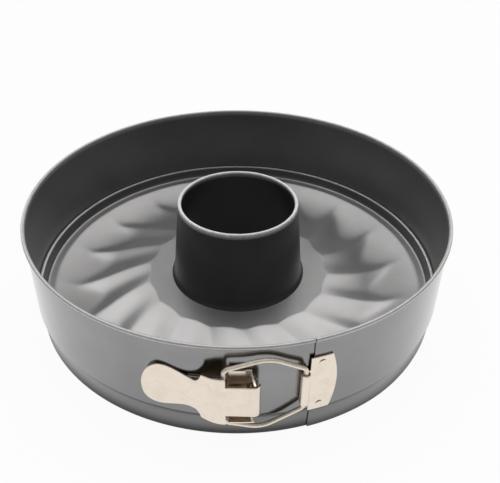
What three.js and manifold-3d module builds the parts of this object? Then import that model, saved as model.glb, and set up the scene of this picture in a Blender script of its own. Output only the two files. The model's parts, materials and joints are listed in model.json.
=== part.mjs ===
// Springform tube pan: an elastic ring with a lever clasp, and a fluted base with a centre tube.
// Millimetres, +Z up. The pan axis is Z while the pieces are made; the clasp is at the front, -Y.
import * as THREE from 'three';
import Module from 'manifold-3d';
import { mergeVertices } from 'three/addons/utils/BufferGeometryUtils.js';

const wasm = await Module();
wasm.setup();

// Ring: one steel strip whose ends lap at the clasp
const RING_HEIGHT = 67;
const WALL_RADIUS = 131.1;
const RING_SHEET = 0.6;
const RIM_BEAD_RADIUS = 1.15;
const SKIRT_HEIGHT = 15.6;
const SKIRT_INSET = 1.0;
const SKIRT_TAPER = 0.9;
const SEAM_ANGLE = 16.7;
const LAP_ANGLE = 15;
const JOGGLE_START = 2;
const JOGGLE_ANGLE = 25;
const LAP_GAP = 0.3;
const BUTT_ANGLE = 0.4;
const TONGUE_STEPS = 4;
const RING_STEP_ANGLE = 5;
const RIM_STEPS = 7;

// Base: a pressed sheet that rests on the ring's inner ledge
const BASE_SHEET = 0.8;
const BASE_FIT = 0.4;
const BASE_SEAT_GAP = 0.15;
const BASE_BEAD_RADIUS = 1.1;
const BAND_DROP = 5.5;
const BAND_WIDTH = 8;
const SLOPE_WIDTH = 3.8;
const SLOPE_SHARES = [[0.5, 0.55], [0.68, 0.16], [1, 0]];
const CHANNEL_DEPTH = 9;
const CHANNEL_SHARE = 0.45;
const VALLEY_SHARE = 0.5;
const RIDGE_SHARE = 0.8;
const FLAT_WIDTH = 17.1;
const SCALLOP_DEPTH = 2;
const FLUTE_COUNT = 18;
const FLUTE_SWIRL = 10.3;
const FLUTE_PHASE = 2;
const CREST_ROUNDING = 0.14;
const STEPS_PER_FLUTE = 6;
const FLUTE_STATIONS = [0, 0.14, 0.28, 0.42, 0.56, 0.7, 0.84, 0.96, 1];

// Centre tube: a tapered shell crimped through the base
const TUBE_HEIGHT = 54.4;
const TUBE_FOOT_RADIUS = 43.4;
const TUBE_RIM_RADIUS = 38.1;
const TUBE_SHEET = 0.8;
const TUBE_BEAD_RADIUS = 1.1;
const CRIMP_WIDTH = 2.4;
const CRIMP_GAP = 0.1;
const TUBE_STEPS = 48;

// Clasp: a lever on a pin, and a wire bail that hangs in the keeper's curl
const CLASP_HEIGHT = 36;
const CLASP_SHEET = 1.0;
const PIVOT_X = 8;
const PIVOT_CLEARANCE = 0.8;
const LEVER_TILT = 2;
const LEVER_FRONT = 3.4;
const LEVER_LENGTH = 57.3;
const LEVER_CURL_END = 185;
const DIP_START = 17;
const DIP_POINTS = [[21.5, 0], [31.5, 6.5], [40, 11.4], [59, 12.2]];
const PADDLE_HALF = 14.2;
const PADDLE_END = 10.3;
const PADDLE_EASE = 6;
const WAIST_EASE = 3.5;
const WAIST_HALF = 9.5;
const SHOULDER_HALF = 15.5;
const TONGUE_HALF = 10.2;
const SIDE_WALL_HALF = 4.5;
const SIDE_WALL_BACK = 2.2;
const SIDE_WALL_LOBE = 2.6;
const LOBE_BACK = 1.2;
const SHOULDER_START = 14;
const SHOULDER_END = 26.8;
const NOTCH_CENTRE = 14.7;
const NOTCH_SLACK = 0.65;
const BAIL_SEAT = new THREE.Vector2(15.1, 0.4);
const WIRE_RADIUS = 1.2;
const BAIL_BEND = 2.2;
const BAIL_LEG_HALF = 13.3;
const BAIL_APEX_HALF = 24;
const BAIL_END_HALF = 17;
const BAIL_TIP_HALF = 2.7;
const BAIL_APEX_SHARES = [0.45, 0.53];
const BAIL_SAG = 0.7;
const KEEPER_X = 33.8;
const KEEPER_HALF = 19;
const KEEPER_CURL_HALF = 10.8;
const KEEPER_LENGTH = 18;
const KEEPER_BOW = 3.2;
const PIN_RADIUS = 1.25;
const PIN_HEAD_RADIUS = 2;
const PIN_CHAMFER = 0.3;
const RUNNING_FIT = 0.25;
const PART_GAP = 0.1;
const RIVET_RADIUS = 1.3;
const RIVET_HEAD_RADIUS = 1.9;
const RIVET_HEAD_HEIGHT = 0.6;
const KEEPER_RIVET_HALF = 15;
const KEEPER_RIVET_REACH = 9.3;
const BRACKET_RIVET_HALF = 5;
const BRACKET_RIVET_ANGLE = -8.6;
const BRACKET_ANGLES = [-11, 3.2];
const BRACKET_HEEL_ANGLE = -3.9;
const BRACKET_BASE_HALF = 9;

const RADIANS = Math.PI / 180;
const LEDGE_INNER = WALL_RADIUS - SKIRT_INSET - RING_SHEET;
const LAP_STEP = RING_SHEET + LAP_GAP;
const BASE_BEAD_CENTRE = new THREE.Vector2(
  WALL_RADIUS - RING_SHEET - BASE_FIT - BASE_BEAD_RADIUS,
  0
);
BASE_BEAD_CENTRE.y = SKIRT_HEIGHT + (BASE_BEAD_RADIUS + BASE_SEAT_GAP) * Math.SQRT2
  - (LEDGE_INNER - BASE_BEAD_CENTRE.x);
const BAND_Z = BASE_BEAD_CENTRE.y - BAND_DROP;
const FLAT_Z = BAND_Z - BASE_SHEET / 4;
const CHANNEL_Z = BAND_Z - CHANNEL_DEPTH;
const BAND_INNER_RADIUS = BASE_BEAD_CENTRE.x - BAND_WIDTH;
const FLAT_RADIUS = TUBE_FOOT_RADIUS + FLAT_WIDTH;
const betweenFlatAndBand = (share) => THREE.MathUtils.lerp(FLAT_RADIUS, BAND_INNER_RADIUS, share);
const CHANNEL_RADIUS = betweenFlatAndBand(CHANNEL_SHARE);
const VALLEY_REACH = betweenFlatAndBand(VALLEY_SHARE);
const RIDGE_REACH = betweenFlatAndBand(RIDGE_SHARE);

const coating = { color: 0x55565a, roughness: 0.42, metalness: 0.55 };
const nickel = { color: 0xd9cdbb, roughness: 0.3, metalness: 0.9 };

// A point at a radius and an angle from the front, turning towards +X
function polar(radius, degrees) {
  const angle = degrees * RADIANS;
  return new THREE.Vector2(radius * Math.sin(angle), -radius * Math.cos(angle));
}

function arcPoints(centre, radius, fromDegrees, toDegrees, steps) {
  return Array.from({ length: steps + 1 }, (_, i) => {
    const angle = (fromDegrees + ((toDegrees - fromDegrees) * i) / steps) * RADIANS;
    return new THREE.Vector2(centre.x + radius * Math.cos(angle), centre.y + radius * Math.sin(angle));
  });
}

function smooth(value, low, high) {
  return THREE.MathUtils.smoothstep(value, low, high);
}

function solidOf(geometry) {
  const bare = new THREE.BufferGeometry();
  bare.setAttribute('position', geometry.getAttribute('position').clone());
  if (geometry.index) bare.setIndex(geometry.index.clone());
  const merged = mergeVertices(bare, 1e-4);
  return new wasm.Manifold(new wasm.Mesh({
    numProp: 3,
    vertProperties: new Float32Array(merged.getAttribute('position').array),
    triVerts: new Uint32Array(merged.index.array),
  }));
}

function geometryOf(solid) {
  const mesh = solid.getMesh();
  const geometry = new THREE.BufferGeometry();
  geometry.setAttribute('position', new THREE.BufferAttribute(new Float32Array(mesh.vertProperties), 3));
  geometry.setIndex(new THREE.BufferAttribute(new Uint32Array(mesh.triVerts), 1));
  geometry.computeVertexNormals();
  return geometry;
}

function piece(name, geometry, finish) {
  geometry.computeVertexNormals();
  const mesh = new THREE.Mesh(geometry, new THREE.MeshStandardMaterial(finish));
  mesh.name = name;
  return mesh;
}

// Flat end of a swept profile, wound so that it faces backwards or forwards along the sweep
function capTriangles(loop, first, forwards) {
  const contour = loop.map((point) => new THREE.Vector2(point.r, point.z));
  const faces = THREE.ShapeUtils.triangulateShape(contour, []);
  return faces.flatMap(([a, b, c]) => {
    const area = (contour[b].x - contour[a].x) * (contour[c].y - contour[a].y)
      - (contour[c].x - contour[a].x) * (contour[b].y - contour[a].y);
    const order = area > 0 === forwards ? [c, b, a] : [a, b, c];
    return order.map((index) => first + index);
  });
}

// Sweep a closed (r, z) loop about Z. Each point may also turn about the axis by its own angle.
function sweepAboutAxis(loopAt, degrees, closed) {
  const loops = degrees.map(loopAt);
  const count = loops[0].length;
  const positions = loops.flatMap((loop, j) => loop.flatMap(({ r, z, turn = 0 }) => {
    const place = polar(r, degrees[j] + turn);
    return [place.x, place.y, z];
  }));
  const indices = [];
  const spans = closed ? loops.length : loops.length - 1;
  for (let j = 0; j < spans; j += 1) {
    const here = j * count;
    const next = ((j + 1) % loops.length) * count;
    for (let i = 0; i < count; i += 1) {
      const k = (i + 1) % count;
      indices.push(here + i, next + i, next + k, here + i, next + k, here + k);
    }
  }
  if (!closed) {
    indices.push(...capTriangles(loops[0], 0, false));
    indices.push(...capTriangles(loops[loops.length - 1], (loops.length - 1) * count, true));
  }
  const geometry = new THREE.BufferGeometry();
  geometry.setAttribute('position', new THREE.Float32BufferAttribute(positions, 3));
  geometry.setIndex(indices);
  return geometry;
}

function fullTurn(steps) {
  return Array.from({ length: steps }, (_, i) => (360 * i) / steps);
}

// A flat outline raised from -half to +half
function prism(shape, half, segments = 8) {
  const geometry = new THREE.ExtrudeGeometry(shape, {
    depth: 2 * half,
    bevelEnabled: false,
    curveSegments: segments,
  });
  return geometry.translate(0, 0, -half);
}

// A strip bent in plan and trimmed to an outline seen from the front
function trimmedStrip(plan, outline, reach) {
  const strip = solidOf(prism(plan, reach));
  const front = solidOf(prism(outline, reach).rotateX(Math.PI / 2));
  return strip.intersect(front);
}

function cylinder(radius, from, to, segments = 20) {
  const geometry = new THREE.CylinderGeometry(radius, radius, to - from, segments);
  return geometry.rotateX(Math.PI / 2).translate(0, 0, (from + to) / 2);
}

// Ring section: skirt, ledge, wall and rolled rim. A lapped end's wall stands out under the same rim.
function ringLoop(lap) {
  const inner = WALL_RADIUS - RING_SHEET;
  const lappedOuter = WALL_RADIUS + lap.offset;
  const lappedInner = inner + lap.offset;
  const wallTop = RING_HEIGHT - 2 * RIM_BEAD_RADIUS;
  const rim = lap.tongue ? tongueEdge(inner, wallTop - LAP_STEP) : rimArc(inner, lappedOuter);
  const points = [
    new THREE.Vector2(lappedOuter - SKIRT_INSET - SKIRT_TAPER, 0),
    new THREE.Vector2(lappedOuter - SKIRT_INSET, SKIRT_HEIGHT - RING_SHEET / 2),
    new THREE.Vector2(lappedOuter, SKIRT_HEIGHT - RING_SHEET / 2 + SKIRT_INSET),
    ...rim,
    new THREE.Vector2(lappedInner, lap.tongue ? wallTop / 2 : wallTop),
    new THREE.Vector2(lappedInner, SKIRT_HEIGHT + SKIRT_INSET),
    new THREE.Vector2(lappedInner - SKIRT_INSET, SKIRT_HEIGHT),
    new THREE.Vector2(lappedInner - SKIRT_INSET - SKIRT_TAPER, 0),
  ];
  return points.map((point) => ({ r: point.x, z: point.y }));
}

function rimArc(inner, wallOuter) {
  const bead = new THREE.Vector2(inner + RIM_BEAD_RADIUS, RING_HEIGHT - RIM_BEAD_RADIUS);
  const join = Math.acos((wallOuter - bead.x) / RIM_BEAD_RADIUS) / RADIANS;
  return arcPoints(bead, RIM_BEAD_RADIUS, -join, 180, RIM_STEPS);
}

// Plain upper edge of the end that lies inside the lap
function tongueEdge(inner, top) {
  return Array.from({ length: RIM_STEPS + 1 }, (_, i) => {
    const across = i / RIM_STEPS;
    return new THREE.Vector2(inner + RING_SHEET * (1 - across), top - RING_SHEET * (2 * across - 1) ** 2);
  });
}

function ringLapAt(travel) {
  const lapped = 1 - smooth(travel, LAP_ANGLE + JOGGLE_START, LAP_ANGLE + JOGGLE_START + JOGGLE_ANGLE);
  return { offset: LAP_STEP * lapped, tongue: travel > 360 - BUTT_ANGLE };
}

// From the seam once round to where the rim butts on itself, then the tongue under the lap
function ringBand(holes) {
  const steps = 360 / RING_STEP_ANGLE;
  const whole = Array.from({ length: steps }, (_, i) => i * RING_STEP_ANGLE);
  const tongueStart = 360 - BUTT_ANGLE / 2;
  const tongueLength = LAP_ANGLE + BUTT_ANGLE / 2;
  const tongue = Array.from(
    { length: TONGUE_STEPS + 1 },
    (_, i) => tongueStart + (tongueLength * i) / TONGUE_STEPS
  );
  const degrees = [...whole, 360 - BUTT_ANGLE, ...tongue].map((travel) => SEAM_ANGLE + travel);
  const loopAt = (angle) => ringLoop(ringLapAt(angle - SEAM_ANGLE));
  const strip = solidOf(sweepAboutAxis(loopAt, degrees, false));
  return geometryOf(holes.reduce((band, hole) => band.subtract(hole), strip));
}

// Fluted base: a dished channel, and a skirt that falls to it from the flat ring
function channelZ(radius) {
  const share = (radius - CHANNEL_RADIUS) / (BAND_INNER_RADIUS - CHANNEL_RADIUS);
  return CHANNEL_Z + CHANNEL_DEPTH * THREE.MathUtils.clamp(share, 0, 1) ** 2;
}

// 1 on a ridge, near 0 in the broad scallop between two ridges
function ridgeAt(phase) {
  const wave = Math.hypot(Math.sin(Math.PI * phase), CREST_ROUNDING);
  return (1 - wave) / (1 - CREST_ROUNDING);
}

// The skirt starts further in and ends sooner in a scallop than on a ridge
function fluteZ(radius, phase) {
  const ridge = ridgeAt(phase);
  const start = FLAT_RADIUS - SCALLOP_DEPTH * (1 - ridge);
  const reach = THREE.MathUtils.lerp(VALLEY_REACH, RIDGE_REACH, ridge);
  const fall = THREE.MathUtils.clamp((radius - start) / (reach - start), 0, 1);
  return channelZ(radius) + (FLAT_Z - CHANNEL_Z) * (1 - fall);
}

function fluteTurn(radius) {
  const inward = (RIDGE_REACH - radius) / (RIDGE_REACH - FLAT_RADIUS);
  return FLUTE_PHASE - FLUTE_SWIRL * THREE.MathUtils.clamp(inward, 0, 1);
}

// Upper side of one section, from the rolled edge in to the tube's hole
function baseTop(phase) {
  const slope = SLOPE_SHARES.map(([across, height]) => new THREE.Vector2(
    BASE_BEAD_CENTRE.x - SLOPE_WIDTH * across,
    BAND_Z + BAND_DROP * height
  ));
  const innerEnd = FLAT_RADIUS - 1.2 * SCALLOP_DEPTH;
  const flutes = FLUTE_STATIONS.map((share) => {
    const radius = THREE.MathUtils.lerp(BAND_INNER_RADIUS, innerEnd, share);
    return new THREE.Vector2(radius, fluteZ(radius, phase));
  });
  const hole = new THREE.Vector2(TUBE_FOOT_RADIUS - TUBE_SHEET + PART_GAP, FLAT_Z);
  return [...slope, ...flutes, hole];
}

function offsetBelow(points, distance) {
  return points.map((point, i) => {
    const before = points[Math.max(i - 1, 0)];
    const after = points[Math.min(i + 1, points.length - 1)];
    const along = after.clone().sub(before).normalize();
    return new THREE.Vector2(point.x - along.y * distance, point.y + along.x * distance);
  });
}

function basePlate() {
  const steps = FLUTE_COUNT * STEPS_PER_FLUTE;
  const loopAt = (degrees) => {
    const top = baseTop((degrees * FLUTE_COUNT) / 360);
    const bottom = offsetBelow(top, BASE_SHEET).reverse();
    bottom[0].x = top[top.length - 1].x;
    const bead = arcPoints(BASE_BEAD_CENTRE, BASE_BEAD_RADIUS, -140, 140, 5);
    return [...bead, ...top, ...bottom].map((p) => ({ r: p.x, z: p.y, turn: fluteTurn(p.x) }));
  };
  return sweepAboutAxis(loopAt, fullTurn(steps), true);
}

// Centre tube: shoulder on the base, neck through it, crimp below it
function centreTube() {
  const neck = TUBE_FOOT_RADIUS - TUBE_SHEET;
  const shoulder = FLAT_Z + CRIMP_GAP;
  const crimpTop = FLAT_Z - BASE_SHEET - CRIMP_GAP;
  const top = FLAT_Z + TUBE_HEIGHT;
  const bead = new THREE.Vector2(TUBE_RIM_RADIUS - TUBE_BEAD_RADIUS, top - TUBE_BEAD_RADIUS);
  const points = [
    new THREE.Vector2(neck + CRIMP_WIDTH, crimpTop - TUBE_SHEET),
    new THREE.Vector2(neck + CRIMP_WIDTH, crimpTop),
    new THREE.Vector2(neck, crimpTop),
    new THREE.Vector2(neck, shoulder),
    new THREE.Vector2(TUBE_FOOT_RADIUS, shoulder),
    ...arcPoints(bead, TUBE_BEAD_RADIUS, 0, 215, 6),
    new THREE.Vector2(TUBE_FOOT_RADIUS - TUBE_SHEET, shoulder + 2 * TUBE_SHEET),
    new THREE.Vector2(neck - TUBE_SHEET, shoulder),
    new THREE.Vector2(neck - TUBE_SHEET, crimpTop - TUBE_SHEET),
  ];
  return sweepAboutAxis(() => points.map((p) => ({ r: p.x, z: p.y })), fullTurn(TUBE_STEPS), true);
}

// Frames of the clasp: local x runs along the wall away from the keeper, local y runs outwards
function frameAt(origin, degrees) {
  const along = new THREE.Vector3(-Math.cos(degrees * RADIANS), -Math.sin(degrees * RADIANS), 0);
  const outwards = new THREE.Vector3(Math.sin(degrees * RADIANS), -Math.cos(degrees * RADIANS), 0);
  const matrix = new THREE.Matrix4().makeBasis(along, outwards, new THREE.Vector3(0, 0, 1));
  return matrix.setPosition(origin.x, origin.y, CLASP_HEIGHT);
}

const bracketFace = WALL_RADIUS + PART_GAP + CLASP_SHEET;
const pivotRadius = bracketFace + PIVOT_CLEARANCE + LEVER_FRONT;
const pivot = new THREE.Vector2(PIVOT_X, -Math.sqrt(pivotRadius ** 2 - PIVOT_X ** 2));
const leverFrame = frameAt(pivot, -LEVER_TILT);
const keeperInner = WALL_RADIUS + LAP_STEP + PART_GAP;
const curlInner = WIRE_RADIUS + RUNNING_FIT;
const keeperRadius = keeperInner + CLASP_SHEET + curlInner;
const keeperAngle = Math.asin(KEEPER_X / keeperRadius) / RADIANS;
const keeperAxis = polar(keeperRadius, keeperAngle);
const keeperFrame = frameAt(keeperAxis, keeperAngle);

// Lever: a tongue curled round the pin, shoulders, a waist, and a paddle that dips to the wall
function dippedFace(plan, level, backwards) {
  const [lead, middle, trail, tip] = DIP_POINTS.map(([x, drop]) => new THREE.Vector2(x, level - drop));
  if (backwards) {
    plan.lineTo(tip.x, tip.y);
    plan.quadraticCurveTo(trail.x, trail.y, middle.x, middle.y);
    plan.quadraticCurveTo(lead.x, lead.y, DIP_START, level);
  } else {
    plan.lineTo(DIP_START, level);
    plan.quadraticCurveTo(lead.x, lead.y, middle.x, middle.y);
    plan.quadraticCurveTo(trail.x, trail.y, tip.x, tip.y);
  }
}

function leverPlan() {
  const back = LEVER_FRONT - CLASP_SHEET;
  const curlEnd = LEVER_CURL_END * RADIANS;
  const plan = new THREE.Shape();
  plan.moveTo(0, LEVER_FRONT);
  plan.absarc(0, 0, LEVER_FRONT, Math.PI / 2, curlEnd, false);
  plan.absarc(0, 0, back, curlEnd, Math.PI / 2, true);
  dippedFace(plan, back, false);
  dippedFace(plan, LEVER_FRONT, true);
  return plan;
}

function leverOutline() {
  const paddle = LEVER_LENGTH - PADDLE_END;
  const waist = SHOULDER_END + WAIST_EASE;
  const shoulderX = SHOULDER_END - CLASP_SHEET;
  const easeX = SHOULDER_END + CLASP_SHEET / 2;
  const curlSide = -LEVER_FRONT - CLASP_SHEET;
  const flare = [waist + PADDLE_EASE, paddle - PADDLE_EASE];
  const outline = new THREE.Shape();
  outline.moveTo(curlSide, -TONGUE_HALF);
  outline.lineTo(SHOULDER_START, -TONGUE_HALF);
  outline.lineTo(SHOULDER_START, -SHOULDER_HALF);
  outline.lineTo(shoulderX, -SHOULDER_HALF);
  outline.quadraticCurveTo(easeX, -WAIST_HALF, waist, -WAIST_HALF);
  outline.bezierCurveTo(flare[0], -WAIST_HALF, flare[1], -PADDLE_HALF, paddle, -PADDLE_HALF);
  outline.absellipse(paddle, 0, PADDLE_END, PADDLE_HALF, -Math.PI / 2, Math.PI / 2, false, 0);
  outline.bezierCurveTo(flare[1], PADDLE_HALF, flare[0], WAIST_HALF, waist, WAIST_HALF);
  outline.quadraticCurveTo(easeX, WAIST_HALF, shoulderX, SHOULDER_HALF);
  outline.lineTo(SHOULDER_START, SHOULDER_HALF);
  outline.lineTo(SHOULDER_START, TONGUE_HALF);
  outline.lineTo(curlSide, TONGUE_HALF);
  return outline;
}

// Side wall behind the tongue, with the pin's hole and the notch that the bail's end rides in
function leverFlange() {
  const halfNotch = WIRE_RADIUS + NOTCH_SLACK;
  const seatTop = BAIL_SEAT.y + WIRE_RADIUS + 2 * RUNNING_FIT;
  const lobe = NOTCH_CENTRE + halfNotch + SIDE_WALL_LOBE;
  const rootRadius = LEVER_FRONT - CLASP_SHEET / 2;
  const flange = new THREE.Shape();
  flange.moveTo(0, rootRadius);
  flange.lineTo(-rootRadius, 0);
  flange.absarc(0, 0, rootRadius, Math.PI, Math.PI * 1.65, false);
  flange.lineTo(NOTCH_CENTRE - halfNotch, -SIDE_WALL_BACK);
  flange.lineTo(NOTCH_CENTRE - halfNotch, seatTop - halfNotch);
  flange.absarc(NOTCH_CENTRE, seatTop - halfNotch, halfNotch, Math.PI, 0, true);
  flange.lineTo(NOTCH_CENTRE + halfNotch, -LOBE_BACK);
  flange.quadraticCurveTo(lobe, -LOBE_BACK, lobe, LOBE_BACK);
  flange.lineTo(lobe, rootRadius);
  flange.holes.push(new THREE.Path().absarc(0, 0, PIN_RADIUS + RUNNING_FIT, 0, 2 * Math.PI, true));
  return flange;
}

function claspLever() {
  const flangeMiddle = SIDE_WALL_HALF - CLASP_SHEET / 2;
  const flange = prism(leverFlange(), CLASP_SHEET / 2);
  const upper = solidOf(flange.clone().translate(0, 0, flangeMiddle));
  const lower = solidOf(flange.clone().translate(0, 0, -flangeMiddle));
  const plate = trimmedStrip(leverPlan(), leverOutline(), 2 * SHOULDER_HALF);
  return geometryOf(plate.add(upper).add(lower)).applyMatrix4(leverFrame);
}

// Pin with a rivet head at each end, outside the lever's side walls
function leverPin() {
  const shank = SIDE_WALL_HALF + RUNNING_FIT;
  const head = shank + RIVET_HEAD_HEIGHT;
  const half = [
    [PIN_RADIUS, shank],
    [PIN_HEAD_RADIUS, shank],
    [PIN_HEAD_RADIUS, head - PIN_CHAMFER],
    [PIN_HEAD_RADIUS - 2 * PIN_CHAMFER, head],
    [0, head],
  ];
  const profile = [...half.map(([r, z]) => [r, -z]).reverse(), ...half];
  const points = profile.map(([r, z]) => new THREE.Vector2(r, z));
  const geometry = new THREE.LatheGeometry(points, 16).rotateX(Math.PI / 2);
  return geometryOf(solidOf(geometry)).applyMatrix4(leverFrame);
}

// Bracket: a foot on the wall, a ramp under the lever and a knuckle round the pin
function leverBracket(holes) {
  const inner = WALL_RADIUS + PART_GAP;
  const outer = inner + CLASP_SHEET;
  const [start, end] = BRACKET_ANGLES;
  const foot = new THREE.Shape([
    ...Array.from({ length: 9 }, (_, i) => polar(inner, start + ((end - start) * i) / 8)),
    ...Array.from({ length: 9 }, (_, i) => polar(outer, end + ((start - end) * i) / 8)),
  ]);
  const heel = polar(inner + CLASP_SHEET / 2, BRACKET_HEEL_ANGLE);
  const along = pivot.clone().sub(heel).normalize();
  const side = new THREE.Vector2(-along.y, along.x).multiplyScalar(CLASP_SHEET / 2);
  const ramp = new THREE.Shape([
    heel.clone().add(side),
    pivot.clone().add(side),
    pivot.clone().sub(side),
    heel.clone().sub(side),
  ]);
  const knuckleRadius = LEVER_FRONT - CLASP_SHEET - RUNNING_FIT;
  const knuckleHalf = SIDE_WALL_HALF - CLASP_SHEET - RUNNING_FIT;
  const knuckle = cylinder(knuckleRadius, -knuckleHalf, knuckleHalf, 24).translate(pivot.x, pivot.y, 0);
  const bore = cylinder(PIN_RADIUS + PART_GAP, -RING_HEIGHT, RING_HEIGHT).translate(pivot.x, pivot.y, 0);
  const solid = solidOf(prism(foot, BRACKET_BASE_HALF))
    .add(solidOf(prism(ramp, knuckleHalf)))
    .add(solidOf(knuckle))
    .subtract(solidOf(bore))
    .translate([0, 0, CLASP_HEIGHT]);
  return geometryOf(holes.reduce((bracket, hole) => bracket.subtract(hole), solid));
}

// Keeper: a plate on the lapped end, its edge curled round the bail's leg
function keeperPlan() {
  const curlOuter = curlInner + CLASP_SHEET;
  const reach = (KEEPER_LENGTH + CLASP_SHEET) / keeperRadius / RADIANS;
  const at = (radius, degrees) => new THREE.Vector2(
    -radius * Math.sin(degrees * RADIANS),
    radius * Math.cos(degrees * RADIANS) - keeperRadius
  );
  const steps = 8;
  const inner = Array.from({ length: steps }, (_, i) => at(keeperInner, reach * (1 - i / steps)));
  const outer = Array.from(
    { length: steps },
    (_, i) => at(keeperInner + CLASP_SHEET, (reach * (i + 1)) / steps)
  );
  const origin = new THREE.Vector2();
  return new THREE.Shape([
    ...inner,
    ...arcPoints(origin, curlOuter, -90, 200, 16),
    ...arcPoints(origin, curlInner, 200, -90, 16),
    ...outer,
  ]);
}

function keeperOutline() {
  const neck = curlInner + 1.5 * CLASP_SHEET;
  const corner = KEEPER_LENGTH - KEEPER_BOW;
  const outline = new THREE.Shape();
  outline.moveTo(neck, -KEEPER_CURL_HALF);
  outline.lineTo(neck, KEEPER_CURL_HALF);
  outline.lineTo(-neck, KEEPER_CURL_HALF);
  outline.lineTo(-neck, KEEPER_HALF);
  outline.lineTo(-corner, KEEPER_HALF);
  outline.quadraticCurveTo(-2 * KEEPER_LENGTH + corner, 0, -corner, -KEEPER_HALF);
  outline.lineTo(-neck, -KEEPER_HALF);
  outline.lineTo(-neck, -KEEPER_CURL_HALF);
  return outline;
}

function keeperPlate(holes) {
  const solid = trimmedStrip(keeperPlan(), keeperOutline(), 2 * KEEPER_HALF);
  const placed = solidOf(geometryOf(solid).applyMatrix4(keeperFrame));
  return geometryOf(holes.reduce((plate, hole) => plate.subtract(hole), placed));
}

// Rivets: a domed head outside and a shank that ends flush inside the sheet it holds
function rivetFrame(degrees, height) {
  const out = new THREE.Vector3(Math.sin(degrees * RADIANS), -Math.cos(degrees * RADIANS), 0);
  const up = new THREE.Vector3(0, 0, 1);
  const side = new THREE.Vector3().crossVectors(up, out);
  return new THREE.Matrix4().makeBasis(side, up, out).setPosition(0, 0, height);
}

function rivet(frame, seat, sheetInner) {
  const head = seat + PART_GAP;
  const domeShares = [[1, 0], [0.85, 0.6], [0.5, 0.9], [0, 1]];
  const profile = [
    new THREE.Vector2(0, sheetInner),
    new THREE.Vector2(RIVET_RADIUS, sheetInner),
    new THREE.Vector2(RIVET_RADIUS, head),
    ...domeShares.map(([r, z]) => new THREE.Vector2(RIVET_HEAD_RADIUS * r, head + RIVET_HEAD_HEIGHT * z)),
  ];
  const geometry = new THREE.LatheGeometry(profile, 12).rotateX(Math.PI / 2);
  return geometryOf(solidOf(geometry)).applyMatrix4(frame);
}

function rivetHole(frame) {
  const drill = cylinder(RIVET_RADIUS + PART_GAP, LEDGE_INNER, pivotRadius, 12);
  return solidOf(drill.applyMatrix4(frame));
}

// Bail: one wire from the lever's upper notch round the keeper's curl to the lower notch
function bailPath() {
  const seat = new THREE.Vector3(BAIL_SEAT.x, BAIL_SEAT.y, 0).applyMatrix4(leverFrame);
  const leg = new THREE.Vector3(keeperAxis.x, keeperAxis.y, CLASP_HEIGHT);
  const at = (share, height) => leg.clone().lerp(seat, share).setZ(CLASP_HEIGHT + height);
  const side = (up, apexShare) => [
    at(1, up * BAIL_TIP_HALF),
    at(1, up * BAIL_END_HALF - BAIL_SAG),
    at(apexShare, up * BAIL_APEX_HALF - BAIL_SAG),
    at(0, up * BAIL_LEG_HALF),
  ];
  const [upperShare, lowerShare] = BAIL_APEX_SHARES;
  return [...side(1, upperShare), ...side(-1, lowerShare).reverse()];
}

function roundedPath(corners, bend) {
  const path = new THREE.CurvePath();
  let from = corners[0];
  for (let i = 1; i < corners.length - 1; i += 1) {
    const into = corners[i].clone().sub(corners[i - 1]).setLength(bend);
    const onward = corners[i + 1].clone().sub(corners[i]).setLength(bend);
    const enter = corners[i].clone().sub(into);
    const leave = corners[i].clone().add(onward);
    path.add(new THREE.LineCurve3(from, enter));
    path.add(new THREE.QuadraticBezierCurve3(enter, corners[i], leave));
    from = leave;
  }
  path.add(new THREE.LineCurve3(from, corners[corners.length - 1]));
  return path;
}

function bailWire() {
  const section = new THREE.Shape().absarc(0, 0, WIRE_RADIUS, 0, 2 * Math.PI, false);
  const geometry = new THREE.ExtrudeGeometry(section, {
    steps: 64,
    curveSegments: 5,
    extrudePath: roundedPath(bailPath(), BAIL_BEND),
  });
  return geometryOf(solidOf(geometry));
}

// Assembly
const keeperRivetAngle = keeperAngle + KEEPER_RIVET_REACH / keeperRadius / RADIANS;
const keeperRivets = [KEEPER_RIVET_HALF, -KEEPER_RIVET_HALF]
  .map((half) => rivetFrame(keeperRivetAngle, CLASP_HEIGHT + half));
const bracketRivets = [BRACKET_RIVET_HALF, -BRACKET_RIVET_HALF]
  .map((half) => rivetFrame(BRACKET_RIVET_ANGLE, CLASP_HEIGHT + half));
const keeperHoles = keeperRivets.map(rivetHole);
const bracketHoles = bracketRivets.map(rivetHole);
const keeperFace = keeperInner + CLASP_SHEET;

const ring = new THREE.Group();
ring.name = 'ring';
ring.add(piece('ring_band', ringBand([...keeperHoles, ...bracketHoles]), coating));
ring.add(piece('keeper_plate', keeperPlate(keeperHoles), nickel));
ring.add(piece('lever_bracket', leverBracket(bracketHoles), nickel));
ring.add(piece('lever_pin', leverPin(), nickel));
['upper', 'lower'].forEach((place, i) => {
  const keeperSheet = WALL_RADIUS + LAP_GAP;
  const bracketSheet = WALL_RADIUS - RING_SHEET;
  ring.add(piece(`keeper_rivet_${place}`, rivet(keeperRivets[i], keeperFace, keeperSheet), nickel));
  ring.add(piece(`bracket_rivet_${place}`, rivet(bracketRivets[i], bracketFace, bracketSheet), nickel));
});

const clasp = new THREE.Group();
clasp.name = 'clasp';
clasp.add(piece('clasp_lever', claspLever(), nickel));
clasp.add(piece('bail_wire', bailWire(), nickel));

const base = new THREE.Group();
base.name = 'base';
base.add(piece('base_plate', basePlate(), coating));
base.add(piece('centre_tube', centreTube(), coating));

const pan = new THREE.Group();
pan.name = 'springform_tube_pan';
pan.add(ring, clasp, base);

// The clasp stands out at the front, so the whole pan is moved to put its box over the origin
const box = new THREE.Box3().setFromObject(pan);
const middle = box.getCenter(new THREE.Vector3());
pan.position.set(-middle.x, -middle.y, -box.min.z);

export default pan;
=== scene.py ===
"""Springform tube pan: coated ring, fluted base and centre tube, with a nickel lever clasp."""

import json
import math

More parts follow.
